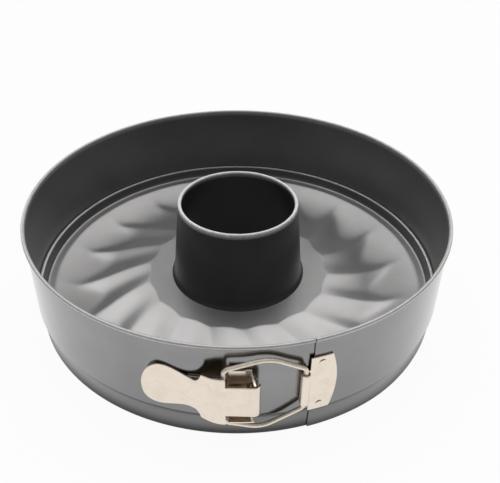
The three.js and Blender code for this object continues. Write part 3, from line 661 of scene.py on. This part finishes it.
def lever_outline(sizes, shoulder, shoulder_end, run, waist, power):
    """Places along the lever and its height there, on one side: tongue, shoulder, waist and paddle.

    The shoulder slopes to its end and drops to the waist on a parabola; a cubic widens to the paddle,
    and the paddle's end is a quarter of an ellipse whose height is raised to a power.
    """
    start, narrow = sizes.shoulder_start, shoulder_end + run
    paddle = sizes.length - sizes.paddle_end
    before = np.array([*TONGUE_PLACES, start - 0.5, start - STEP, start])
    after = start + np.array([STEP, CORNER, *SHOULDER_PLACES])
    tongue = np.full(len(before), sizes.tongue)
    tongue[-1] += CORNER
    slope = shoulder + (sizes.shoulder - shoulder) * (after - start) / (shoulder_end - start)
    slope[0] -= CORNER
    drop = bezier([
        (shoulder_end, sizes.shoulder), (shoulder_end + run / 3, waist), (narrow, waist)
    ], DROP_POINTS)
    widen = bezier([
        (narrow, waist), (narrow + PADDLE_EASE, waist),
        (paddle - PADDLE_EASE, sizes.paddle), (paddle, sizes.paddle),
    ], WIDEN_POINTS)
    angle = np.radians(np.linspace(0, TIP_ARC, TIP_POINTS))
    tip = np.stack([np.sin(angle) * sizes.paddle_end + paddle, np.cos(angle) ** power * sizes.paddle], 1)
    return np.concatenate([
        np.stack([before, tongue], 1), np.stack([after, slope], 1), drop, widen[1:], tip[1:]
    ])


def lever_drop(x):
    """How far the lever lies behind its tongue's face: two parabolas that dip to the wall and level out."""
    first, second = bezier(DIP[:3], DIP_POINTS), bezier(DIP[2:], DIP_POINTS)
    line = np.concatenate([first, second[1:]])
    return np.interp(x, line[:, 0], line[:, 1])


def side_wall_outline(sizes):
    """Outline of a side wall inside the tongue: round at the pin, with a notch for the bail's end."""
    root = sizes.front - sizes.sheet / 2
    around = arc((0, 0), root, *PIN_ARC, PIN_POINTS)
    seat = arc((NOTCH_PLACE, NOTCH_DEPTH - NOTCH_RADIUS), NOTCH_RADIUS, 180, 0, NOTCH_POINTS)
    left, right = NOTCH_PLACE - NOTCH_RADIUS, NOTCH_PLACE + NOTCH_RADIUS
    lobe = right + WALL_LOBE
    return np.concatenate([
        [(0, root)], around, [(left, WALL_FOOT)], seat, [(right, WALL_TOE)],
        bezier([(right + LOBE_START, WALL_TOE), (lobe, WALL_TOE), (lobe, -WALL_TOE)], LOBE_POINTS),
        [(lobe, root)],
    ])


class PAN_OT_clasp_lever(bpy.types.Operator):
    """Build the lever: a sheet curled at the pin and dipped to the wall, and its two side walls"""

    bl_idname = "tube_pan.clasp_lever"
    bl_label = "Clasp lever"

    def execute(self, context):
        sizes = context.scene.pan_clasp
        origin, axes = claspwards(PIVOTS["lever_swing"], -sizes.tilt)
        middle = sizes.front - sizes.sheet / 2
        curl = arc((0, 0), middle, math.degrees(sizes.curl_end), 90, CURL_POINTS)
        upper = lever_outline(
            sizes, sizes.shoulder, sizes.shoulder_end, sizes.waist_run, sizes.waist, sizes.paddle_slim
        )
        lower = lever_outline(
            sizes, sizes.shoulder_low, sizes.shoulder_low_end, sizes.waist_low_run, sizes.waist_low,
            sizes.paddle_full,
        )
        along = np.union1d(upper[:, 0], lower[:, 0])
        over, under = np.interp(along, *upper.T), np.interp(along, *lower.T)
        sheet = np.stack([along, middle - lever_drop(along)], 1)
        halves = np.concatenate([np.full(len(curl), sizes.tongue), (over + under) / 2])
        middles = np.concatenate([np.zeros(len(curl)), (over - under) / 2])
        path = np.concatenate([curl, sheet])
        shells = [plate(path, halves, sizes.sheet, sizes.edge, origin, axes, middles)]
        wall = side_wall_outline(sizes)
        low, high = sizes.wall_half - sizes.sheet, sizes.wall_half
        shells += [prism(wall, low, high, origin, axes), prism(wall, -high, -low, origin, axes)]
        piece = mesh_object("clasp_lever_formed", *joined(*shells), nickel_material(context), CLASP_CREASE)
        take_place(piece, "lever", "clasp_nickel", "clasp_lever")
        return {"FINISHED"}


BAIL_SEAT = (15.1, 0.4, 0.0)  # middle of the wire's ends, along, out from and above the lever's pin
BAIL_CORNERS = (  # share of the way from the keeper's leg to the seat, and height over the leg's middle
    (1, 2.7), (1, 19.3), (0.45, 24.3), (0, 14.4), (0, -13.3), (0.53, -25.3), (1, -17.7), (1, -2.7)
)
BAIL_BENDS = (0, 3, 7, 2.2, 2.2, 7, 3, 0)  # where each corner's bend starts, from the corner
WIRE_SIDES, WIRE_BEVEL = 24, 0.25


def bail_path(sizes):
    """Middle line of the bail: from one notch of the lever, round the keeper's leg, to the other notch."""
    origin, axes = claspwards(PIVOTS["lever_swing"], -sizes.tilt)
    leg = PIVOTS["bail_swing"]
    reach = origin + np.array(BAIL_SEAT) @ axes - leg
    part, height = np.array(BAIL_CORNERS).T[..., None]
    up = np.array([0, 0, 1.0])
    line = rounded(leg + part * reach + height * up, BAIL_BENDS, WIRE_STEPS)
    return line[WIRE_STEPS - 1:1 - WIRE_STEPS], unit(np.cross(reach, up))


class PAN_OT_bail_wire(bpy.types.Operator):
    """Build the bail: a circle carried along one bent line"""

    bl_idname = "tube_pan.bail_wire"
    bl_label = "Bail wire"

    def execute(self, context):
        sizes = context.scene.pan_clasp
        line, across = bail_path(sizes)
        ahead = unit(np.gradient(line, axis=0))
        first, last = line[0] + WIRE_BEVEL * ahead[0], line[-1] - WIRE_BEVEL * ahead[-1]
        line = np.concatenate([line[:1], [first], line[1:-1], [last], line[-1:]])
        ahead = np.concatenate([ahead[:1], ahead, ahead[-1:]])
        radius = np.full(len(line), sizes.wire)
        radius[[0, -1]] -= WIRE_BEVEL
        angle = np.linspace(0, TURN, WIRE_SIDES, endpoint=False)[None, :, None]
        ring = np.cos(angle) * across + np.sin(angle) * np.cross(ahead, across)[:, None]
        points, faces = swept(line[:, None] + radius[:, None, None] * ring)
        piece = mesh_object("bail_wire_formed", points, faces, nickel_material(context, True))
        take_place(piece, "bail", "clasp_nickel", "bail_wire")
        return {"FINISHED"}


KEEPER_CURL_ARC, KEEPER_CURL_POINTS = (200, -88), 26  # angles in degrees where the curl starts and ends
BOW_ARC, BOW_POINTS, PLATE_POINTS = 86, 14, 6
NECK_PLACES, NECK_CLEAR, PLATE_CLEAR = (0.5, 1.5), 0.4, 2  # on the neck, and before and after its step


def keeper_turn():
    """Angle of the bail's axis from the front, and its distance from the pan's axis."""
    leg = PIVOTS["bail_swing"]
    return math.atan2(leg[0], -leg[1]), math.hypot(leg[0], leg[1])


def keeper_outline(sizes, neck):
    """Places along the keeper and its half height there: curl's width, a step to the plate, a bowed edge."""
    corner = sizes.keeper_length - sizes.keeper_bow
    bow = np.sin(np.radians(np.linspace(0, BOW_ARC, BOW_POINTS)))[1:]
    curl, tall = sizes.keeper_curl, sizes.keeper_half
    along = np.concatenate([
        NECK_PLACES, [neck - NECK_CLEAR, neck - STEP, neck, neck + STEP, neck + CORNER],
        np.linspace(neck + PLATE_CLEAR, corner, PLATE_POINTS), corner + sizes.keeper_bow * bow,
    ])
    halves = np.concatenate([
        [curl] * (len(NECK_PLACES) + 2), [curl + CORNER, tall - CORNER, tall],
        [tall] * PLATE_POINTS, tall * np.sqrt(1 - bow),
    ])
    return along, halves


class PAN_OT_keeper_plate(bpy.types.Operator):
    """Build the keeper: a plate on the wall whose edge curls round the bail, with a bowed far edge"""

    bl_idname = "tube_pan.keeper_plate"
    bl_label = "Keeper plate"

    def execute(self, context):
        sizes = context.scene.pan_clasp
        turn, reach = keeper_turn()
        origin, axes = claspwards(PIVOTS["bail_swing"], turn)
        curl_radius = sizes.wire + sizes.fit + sizes.sheet / 2
        curl = arc((0, 0), curl_radius, *KEEPER_CURL_ARC, KEEPER_CURL_POINTS)
        along, halves = keeper_outline(sizes, curl_radius + sizes.sheet)
        wall = reach - curl_radius
        sheet = np.stack([-wall * np.sin(along / wall), wall * np.cos(along / wall) - reach], 1)
        halves = np.concatenate([np.full(len(curl), sizes.keeper_curl), halves])
        path = np.concatenate([curl, sheet])
        points, faces = plate(path, halves, sizes.sheet, sizes.edge, origin, axes)
        piece = mesh_object("keeper_plate_formed", points, faces, nickel_material(context), CLASP_CREASE)
        take_place(piece, "ring", "clasp_nickel", "keeper_plate")
        return {"FINISHED"}


SHANK_RADIUS, SHANK_DEPTH = 1.3, 2.1
DOME_RISE, DOME_TOP, DOME_ANGLES = 0.48, 0.49, (20, 45, 65, 80)
RIVET_EDGE, RIVET_POLE, RIVET_SIDES = 0.1, 0.05, 28


def rivet_profile(radius, face):
    """Radius and height of a rivet: a shank through the sheets and a low elliptical dome on their face."""
    shank = [(RIVET_POLE, -SHANK_DEPTH), (SHANK_RADIUS - RIVET_EDGE, -SHANK_DEPTH),
             (SHANK_RADIUS, RIVET_EDGE - SHANK_DEPTH), (SHANK_RADIUS, RIVET_EDGE)]
    skirt = [(radius - RIVET_EDGE, RIVET_EDGE), (radius, 2 * RIVET_EDGE)]
    angle = np.radians(DOME_ANGLES)
    dome = np.stack([radius * np.cos(angle), 2 * RIVET_EDGE + DOME_RISE * np.sin(angle)], 1)
    pole = [(RIVET_POLE, 2 * RIVET_EDGE + DOME_TOP)]
    return np.concatenate([shank, skirt, dome, pole]) + [0, face]


class PAN_OT_keeper_rivets(bpy.types.Operator):
    """Build the keeper's rivets: a low dome turned about its own axis, on a shank through both sheets"""

    bl_idname = "tube_pan.keeper_rivets"
    bl_label = "Keeper rivets"

    def execute(self, context):
        sizes = context.scene.pan_clasp
        turn, reach = keeper_turn()
        profile = rivet_profile(sizes.rivet, reach - sizes.wire - sizes.fit)
        turn = turn + sizes.rivet_reach / reach
        out = np.array([math.sin(turn), -math.cos(turn), 0])
        side = np.array([math.cos(turn), math.sin(turn), 0])
        up = np.array([0, 0, 1.0])
        angle = np.linspace(0, TURN, RIVET_SIDES, endpoint=False)[None, :, None]
        ring = np.cos(angle) * side + np.sin(angle) * up
        head = profile[:, :1, None] * ring + profile[:, 1:, None] * out
        finish = nickel_material(context)
        for node, sign in (("keeper_rivet_upper", 1), ("keeper_rivet_lower", -1)):
            height = PIVOTS["bail_swing"][2] + sign * sizes.rivet_half
            points, faces = swept(head + height * up)
            piece = mesh_object(f"{node}_formed", points, faces, finish, CLASP_CREASE)
            take_place(piece, "ring", "clasp_nickel", node)
        return {"FINISHED"}


FOOT_ARC, FOOT_STATIONS, FOOT_DEPTH = (-11.0, 3.0), 25, 1.3  # degrees from the front; depth behind the lever
FOOT_LOW, FOOT_RISE, FOOT_EASE = 9.0, 6.5, (-9.0, -2.0)  # its half height, and where it grows taller
EAR = ((0, 10.6), (7.2, 10.6), (7.2, 11.2), (4.5, 12.2), (1.6, 14.2), (0, 15.4))  # outwards, and up
EAR_PLACE, EAR_WAY, EAR_HALF = 6.3, (2.4, -7.4, 0), 0.5  # its root, its direction and half its thickness
FLANGE_START, FLANGE_STEPS = -1.9, 7
FLANGES = (  # near and far distance from the foot, angles where those edges end, lowest and highest point
    (0, 2.5, 2.7, 3.0, 13.2, 14.0),
    (1.7, 2.5, 1.6, 1.6, 13.2, 17.0),
    (0, 6.9, 2.7, 3.5, -16.0, -15.2),
)
RAMP_HALF, RAMP_REACH, RAMP_STEPS = 3.2, 0.8, 5  # half height, and share of the way from foot to pin
KNUCKLE = ((1.4, -3.2), (2.1, -3.2), (2.1, 3.2), (1.4, 3.2))  # its section, as radius and height
KNUCKLE_SIDES = 32


def on_wall(radius, start, end, steps):
    """Points of an arc about the pan's axis, between two angles in degrees from the front."""
    angle = np.radians(np.linspace(start, end, steps))
    return radius * np.stack([np.sin(angle), -np.cos(angle)], 1)


def bracket_shells(sizes):
    """Foot on the wall, ears and flanges above and below the tongue, a ramp and a knuckle round the pin."""
    pivot = PIVOTS["lever_swing"]
    level, upright = np.array([0, 0, pivot[2]]), np.eye(3)
    middle = math.hypot(pivot[0], pivot[1]) - sizes.front - FOOT_DEPTH
    foot = on_wall(middle, *FOOT_ARC, FOOT_STATIONS)
    halves = FOOT_LOW + FOOT_RISE * smoothstep(foot[:, 0], *FOOT_EASE)
    shells = [plate(foot, halves, sizes.sheet, sizes.edge, level, upright)]
    out = unit(np.array(EAR_WAY))
    for side in (1, -1):
        axes = np.array([out, (0, 0, side), np.cross(out, (0, 0, 1))])
        shells.append(prism(np.array(EAR), -EAR_HALF, EAR_HALF, level + [EAR_PLACE, -middle, 0], axes))
    for near, far, near_end, far_end, low, high in FLANGES:
        flange = np.concatenate([
            on_wall(middle + near, FLANGE_START, near_end, FLANGE_STEPS),
            on_wall(middle + far, far_end, FLANGE_START, FLANGE_STEPS),
        ])
        shells.append(prism(flange, low, high, level, upright))
    root = foot[FOOT_STATIONS // 2]
    ramp = np.linspace(root, root + RAMP_REACH * (pivot[:2] - root), RAMP_STEPS)
    shells.append(plate(ramp, np.full(RAMP_STEPS, RAMP_HALF), sizes.sheet, sizes.edge, level, upright))
    angle = np.linspace(0, TURN, KNUCKLE_SIDES, endpoint=False)[:, None]
    radius, height = np.array(KNUCKLE).T
    knuckle = np.stack([radius * np.cos(angle), radius * np.sin(angle), height + 0 * angle], -1)
    shells.append(((pivot + knuckle).reshape(-1, 3), quads(knuckle.shape, True, True)))
    return shells


class PAN_OT_bracket(bpy.types.Operator):
    """Build the lever's bracket from bent sheet and give its pin and rivets their nickel finish"""

    bl_idname = "tube_pan.bracket"
    bl_label = "Bracket and pin"

    def execute(self, context):
        finish = nickel_material(context)
        points, faces = joined(*bracket_shells(context.scene.pan_clasp))
        piece = mesh_object("lever_bracket_formed", points, faces, finish, CLASP_CREASE)
        take_place(piece, "ring", "clasp_nickel", "lever_bracket")
        for name in ("lever_pin", "bracket_rivet_upper", "bracket_rivet_lower"):
            for slot in frame["nodes"][name].material_slots:
                slot.material = finish
        return {"FINISHED"}


class NodeMaker:
    """Adds nodes to one tree and joins them by the names of their sockets."""

    def __init__(self, tree):
        self.tree = tree

    def add(self, kind, **values):
        """A node; keys that start with in_ set or join that input, other keys set the node itself."""
        node = self.tree.nodes.new(kind)
        for key, value in values.items():
            if not key.startswith("in_"):
                setattr(node, key, value)
        for key, value in values.items():
            if key.startswith("in_"):
                self.feed(node, key[3:], value)
        return node

    def feed(self, node, key, value):
        """Sets an input, or joins it to another node's output."""
        socket = node.inputs[int(key)] if key.isdigit() else node.inputs[key.replace("_", " ")]
        if isinstance(value, bpy.types.NodeSocket):
            self.tree.links.new(value, socket)
        else:
            socket.default_value = value

    def math(self, operation, first, second=0.0, third=0.0):
        """One arithmetic step."""
        return self.add("ShaderNodeMath", operation=operation, in_0=first, in_1=second, in_2=third).outputs[0]

    def ramp(self, value, stops):
        """A grey ramp from (place, grey) stops."""
        node = self.add("ShaderNodeValToRGB", in_0=value)
        ramp = node.color_ramp
        for place, _ in stops[2:]:
            ramp.elements.new(place)
        for element, (place, grey) in zip(ramp.elements, sorted(stops)):
            element.position = place
            element.color = (grey, grey, grey, 1)
        return node.outputs[0]

    def ease(self, value, low, high, first=0.0, last=1.0):
        """A smooth step of a number from a low to a high place."""
        return self.add(
            "ShaderNodeMapRange", interpolation_type="SMOOTHSTEP", in_0=value,
            in_1=low, in_2=high, in_3=first, in_4=last,
        ).outputs[0]

    def attribute(self, name):
        """A number that a piece carries at each of its points."""
        return self.add("ShaderNodeAttribute", attribute_name=name).outputs["Fac"]

    def place(self):
        """A point's place about the pan's axis, in metres."""
        point = self.add("ShaderNodeTexCoord").outputs["Object"]
        return self.add("ShaderNodeMapping", in_Vector=point, in_Location=tuple(-AXIS)).outputs[0]

    def mix(self, part, first, second, blend="MIX"):
        """A colour between two colours."""
        node = self.add(
            "ShaderNodeMix", data_type="RGBA", blend_type=blend, in_0=part, in_6=first, in_7=second
        )
        return node.outputs[2]

    def noise(self, place, scale, detail=3.0, roughness=0.55):
        """Noise over a place, as a number."""
        return self.add(
            "ShaderNodeTexNoise", in_Vector=place, in_Scale=scale, in_Detail=detail, in_Roughness=roughness
        ).outputs[0]


def start_material(name):
    """A material, its node maker, its principled shader and its coordinates about the pan's axis."""
    material = bpy.data.materials.new(name)
    material.use_nodes = True
    maker = NodeMaker(material.node_tree)
    shader = material.node_tree.nodes["Principled BSDF"]
    return material, maker, shader, maker.place()


COAT_ROUGHNESS = 0.08
CLOUD_GLOSS, FLAKE_GLOSS, WORN_GLOSS = 0.07, 0.06, 0.2  # what mottling, flake and wear add to the roughness
GLOSS_MIDDLE = (CLOUD_GLOSS + FLAKE_GLOSS) / 2
WORN_FLAKE = 0.75  # share of the flake that is lost where the coating is rubbed
GRAIN_SCALE = (60.0, 60.0, 1400.0)
GRAIN_GLOSS, CLOUD_SHADE = 0.16, 0.6


def coating_material(context, name, outer, inner=None):
    """Dark coating: fine orange peel and flake, slow mottling, rubbed edges that show paler, and painted
    shade where a piece marks it.

    Given an inner tone, the piece is glossy outside under a clear coat, and satin inside. Otherwise it is
    satin all over.
    """
    if name in bpy.data.materials:
        return bpy.data.materials[name]
    tones = context.scene.pan_finishes
    material, maker, shader, place = start_material(name)
    tone, flakes, gloss = (*outer, 1), tones.coating_metal, tones.coating_satin - GLOSS_MIDDLE
    if inner is not None:
        inside = maker.attribute("inside")
        tone = maker.mix(inside, tone, (*inner, 1))
        flakes = maker.ease(inside, 0.0, 1.0, 1.0, flakes)
        gloss = maker.ease(inside, 0.0, 1.0, tones.coating_gloss - GLOSS_MIDDLE, gloss)
        maker.feed(shader, "Coat Weight", maker.ease(inside, 0.0, 1.0, tones.coat, 0.0))
        maker.feed(shader, "Coat Roughness", COAT_ROUGHNESS)
    peel = maker.noise(place, scale=900.0, detail=2.0)
    flake = maker.noise(place, scale=3200.0, detail=1.0)
    cloud = maker.noise(place, scale=28.0, detail=4.0)
    broken = maker.noise(place, scale=420.0, detail=4.0, roughness=0.7)
    worn = maker.math("MULTIPLY", maker.attribute("rub"), maker.ramp(broken, [(0.3, 0.7), (0.7, 1.0)]))
    # Painted shade: the share that a piece marks darkens the colour.
    unshaded = maker.math("SUBTRACT", 1.0, maker.attribute("painted_shade"))
    shade = maker.math("MULTIPLY", maker.ramp(cloud, [(0.3, 0.9), (0.7, 1.06)]), unshaded)
    tone = maker.mix(worn, tone, (*tones.coating_worn, 1))
    maker.feed(shader, "Base Color", maker.mix(1.0, tone, shade, "MULTIPLY"))
    covered = maker.math("MULTIPLY_ADD", worn, -WORN_FLAKE, 1.0)
    maker.feed(shader, "Metallic", maker.math("MULTIPLY", flakes, covered))
    for source, weight in ((cloud, CLOUD_GLOSS), (worn, WORN_GLOSS), (flake, FLAKE_GLOSS)):
        gloss = maker.math("MULTIPLY_ADD", source, weight, gloss)
    maker.feed(shader, "Roughness", gloss)
    bump = maker.add("ShaderNodeBump", in_Strength=0.05, in_Distance=0.0002, in_Height=peel)
    maker.feed(shader, "Normal", bump.outputs[0])
    return material


def nickel_material(context, wire=False):
    """Warm nickel plating: drawn grain along the sheet, faint clouding and darker pits."""
    name = "nickel_wire" if wire else "nickel_sheet"
    if name in bpy.data.materials:
        return bpy.data.materials[name]
    tones = context.scene.pan_finishes
    tone, gloss = (tones.wire_tone, tones.wire_gloss) if wire else (tones.nickel, tones.nickel_gloss)
    material, maker, shader, place = start_material(name)
    drawn = maker.add("ShaderNodeMapping", in_Vector=place, in_Scale=GRAIN_SCALE).outputs[0]
    grain = maker.noise(drawn, scale=1.0, detail=4.0, roughness=0.6)
    cloud = maker.ramp(maker.noise(place, scale=140.0, detail=4.0), [(0.45, 0.0), (0.75, 0.4)])
    pits = maker.ramp(maker.noise(place, scale=1500.0, detail=2.0), [(0.62, 0.0), (0.72, 0.7)])
    dark = maker.math("MAXIMUM", maker.math("MULTIPLY", cloud, CLOUD_SHADE), pits)
    maker.feed(shader, "Base Color", maker.mix(dark, (*tone, 1), (*tones.nickel_shade, 1)))
    maker.feed(shader, "Metallic", 1.0)
    rough = maker.math("MULTIPLY_ADD", grain, GRAIN_GLOSS, gloss - GRAIN_GLOSS / 2)
    maker.feed(shader, "Roughness", rough)
    bump = maker.add("ShaderNodeBump", in_Strength=0.06, in_Distance=0.0003, in_Height=grain)
    maker.feed(shader, "Normal", bump.outputs[0])
    return material


FLOOR_REACH, CLIP_START = 6.0, 0.01
# Inner and outer distance from the pan's axis in metres, and the value at each.
FLOOR_SEEN = (0.118, 0.130, 0.0, 0.95)
# Painted shadow: reflections see the floor dark close round the pan's foot.
FLOOR_PAINTED_SHADOW = (0.129, 0.136, 0.1, 0.95)
# Painted shade: the floor's own colour is dark under the pan.
FLOOR_PAINTED_SHADE = (0.1, 0.13, 0.15, 0.8)


def floor_material():
    """Pale table: white to the camera and to reflections except under the pan, with a soft shadow; in
    reflections a painted shadow darkens it round the pan's foot, and painted shade darkens its colour under
    the pan.
    """
    material = bpy.data.materials.new("pale_floor")
    material.use_nodes = True
    tree = material.node_tree
    tree.nodes.clear()
    maker = NodeMaker(tree)
    rays = maker.add("ShaderNodeLightPath").outputs
    away = maker.add("ShaderNodeVectorMath", operation="LENGTH", in_0=maker.place()).outputs["Value"]
    seen = maker.math("MULTIPLY", rays["Is Camera Ray"], maker.ease(away, *FLOOR_SEEN))
    reflected = maker.math("MULTIPLY", rays["Is Glossy Ray"], maker.ease(away, *FLOOR_PAINTED_SHADOW))
    matt = maker.add("ShaderNodeBsdfDiffuse", in_Color=maker.ease(away, *FLOOR_PAINTED_SHADE))
    glow = maker.add("ShaderNodeEmission", in_Color=(1, 1, 1, 1), in_Strength=1.0)
    part = maker.math("MAXIMUM", seen, reflected)
    mixed = maker.add("ShaderNodeMixShader", in_0=part, in_1=matt.outputs[0], in_2=glow.outputs[0])
    maker.add("ShaderNodeOutputMaterial", in_Surface=mixed.outputs[0])
    return material


# Where a part of the room's light begins and is full along one axis of its direction, and the value at each.
PANEL_INNER = (0.12, 0.45)
PANEL_OUTER = (0.6, 0.85, 1.0, 0.0)
PANEL_BACK = (0.2, 0.6)
PANEL_TOP = (0.6, 0.85, 1.0, 0.0)
CEILING_LOW = (0.6, 0.92, 0.0)
CEILING_FRONT = (-0.25, 0.15)


def room_light(scene, sizes):
    """World: white to the camera, and to the pan a bright ceiling, side panels behind and a dim room."""
    world = bpy.data.worlds.new("room")
    scene.world = world
    world.use_nodes = True
    tree = world.node_tree
    tree.nodes.clear()
    maker = NodeMaker(tree)
    camera = maker.add("ShaderNodeLightPath").outputs["Is Camera Ray"]
    way = maker.add("ShaderNodeTexCoord").outputs["Generated"]
    across, back, up = maker.add("ShaderNodeSeparateXYZ", in_0=way).outputs
    aside = maker.math("ABSOLUTE", across)
    panels = maker.ease(aside, *PANEL_INNER, sizes.gap, sizes.behind)
    for value, limits in ((aside, PANEL_OUTER), (back, PANEL_BACK), (up, PANEL_TOP)):
        panels = maker.math("MULTIPLY", panels, maker.ease(value, *limits))
    ceiling = maker.ease(up, *CEILING_LOW, sizes.overhead)
    ceiling = maker.math("MULTIPLY", ceiling, maker.ease(back, *CEILING_FRONT))
    light = maker.math("ADD", maker.math("ADD", panels, ceiling), sizes.room)
    dim = maker.add("ShaderNodeBackground", in_Color=(1, 1, 1, 1), in_Strength=light)
    white = maker.add("ShaderNodeBackground", in_Color=(1, 1, 1, 1), in_Strength=1.0)
    mixed = maker.add("ShaderNodeMixShader", in_0=camera, in_1=dim.outputs[0], in_2=white.outputs[0])
    maker.add("ShaderNodeOutputWorld", in_Surface=mixed.outputs[0])


class PAN_OT_stage(bpy.types.Operator):
    """Make the table, the room's light and the camera"""

    bl_idname = "tube_pan.stage"
    bl_label = "Stage"

    def execute(self, context):
        sizes = context.scene.pan_stage
        mesh = bpy.data.meshes.new("floor")
        corners = FLOOR_REACH * np.array([(-1, -1, 0), (1, -1, 0), (1, 1, 0), (-1, 1, 0)])
        mesh.from_pydata(corners.tolist(), [], [(0, 1, 2, 3)])
        mesh.materials.append(floor_material())
        floor = bpy.data.objects.new("floor", mesh)
        context.scene.collection.objects.link(floor)
        room_light(context.scene, sizes)
        self.camera(context, sizes)
        context.scene.view_settings.view_transform = "Standard"
        return {"FINISHED"}

    def camera(self, context, sizes):
        """Camera at the photograph's angle: in front, above, and slightly turned and rolled."""
        lens = bpy.data.cameras.new("camera")
        lens.sensor_fit = "HORIZONTAL"
        lens.sensor_width, lens.lens = sizes.sensor, sizes.lens
        lens.clip_start = CLIP_START
        piece = bpy.data.objects.new("camera", lens)
        context.scene.collection.objects.link(piece)
        reach = sizes.distance * MM
        place = AXIS + reach * np.array([0, -math.cos(sizes.elevation), math.sin(sizes.elevation)])
        level = np.array([math.sin(sizes.yaw), math.cos(sizes.yaw), 0]) * math.cos(sizes.pitch)
        sight = level + [0, 0, -math.sin(sizes.pitch)]
        right = unit(np.cross(sight, [0, 0, 1]))
        up = np.cross(right, sight)
        turn_right = right * math.cos(sizes.roll) + up * math.sin(sizes.roll)
        turn_up = up * math.cos(sizes.roll) - right * math.sin(sizes.roll)
        axes = np.column_stack([turn_right, turn_up, -sight, place])
        piece.matrix_world = Matrix(axes.tolist() + [[0, 0, 0, 1]])
        context.scene.camera = piece


class PAN_PT_panel(bpy.types.Panel):
    """Lists the pan's pieces and their sizes"""

    bl_idname = "PAN_PT_panel"
    bl_label = "Tube Pan"
    bl_space_type = "VIEW_3D"
    bl_region_type = "UI"
    bl_category = "Tube Pan"

    def draw(self, context):
        for operator in OPERATORS:
            self.layout.operator(operator.bl_idname)
        for name in GROUPS:
            box = self.layout.box()
            group = getattr(context.scene, name)
            for key in group.bl_rna.properties.keys():
                if key not in {"rna_type", "name"}:
                    box.prop(group, key)


GROUPS = {
    "pan_ring": RingSizes,
    "pan_base": BaseSizes,
    "pan_tube": TubeSizes,
    "pan_clasp": ClaspSizes,
    "pan_finishes": Finishes,
    "pan_stage": StageSizes,
}
OPERATORS = [
    PAN_OT_ring_band,
    PAN_OT_base_plate,
    PAN_OT_centre_tube,
    PAN_OT_clasp_lever,
    PAN_OT_bail_wire,
    PAN_OT_keeper_plate,
    PAN_OT_keeper_rivets,
    PAN_OT_bracket,
    PAN_OT_stage,
]


def register():
    """Adds the groups, operators and panel."""
    for name, group in GROUPS.items():
        bpy.utils.register_class(group)
        setattr(bpy.types.Scene, name, PointerProperty(type=group))
    for operator in OPERATORS:
        bpy.utils.register_class(operator)
    bpy.utils.register_class(PAN_PT_panel)


def unregister():
    """Removes what register added."""
    bpy.utils.unregister_class(PAN_PT_panel)
    for operator in reversed(OPERATORS):
        bpy.utils.unregister_class(operator)
    for name, group in GROUPS.items():
        delattr(bpy.types.Scene, name)
        bpy.utils.unregister_class(group)


def main():
    """Builds the pan on its stage."""
    register()
    bpy.ops.tube_pan.ring_band()
    bpy.ops.tube_pan.base_plate()
    bpy.ops.tube_pan.centre_tube()
    bpy.ops.tube_pan.clasp_lever()
    bpy.ops.tube_pan.bail_wire()
    bpy.ops.tube_pan.keeper_plate()
    bpy.ops.tube_pan.keeper_rivets()
    bpy.ops.tube_pan.bracket()
    bpy.ops.tube_pan.stage()


if __name__ == "__main__":
    main()
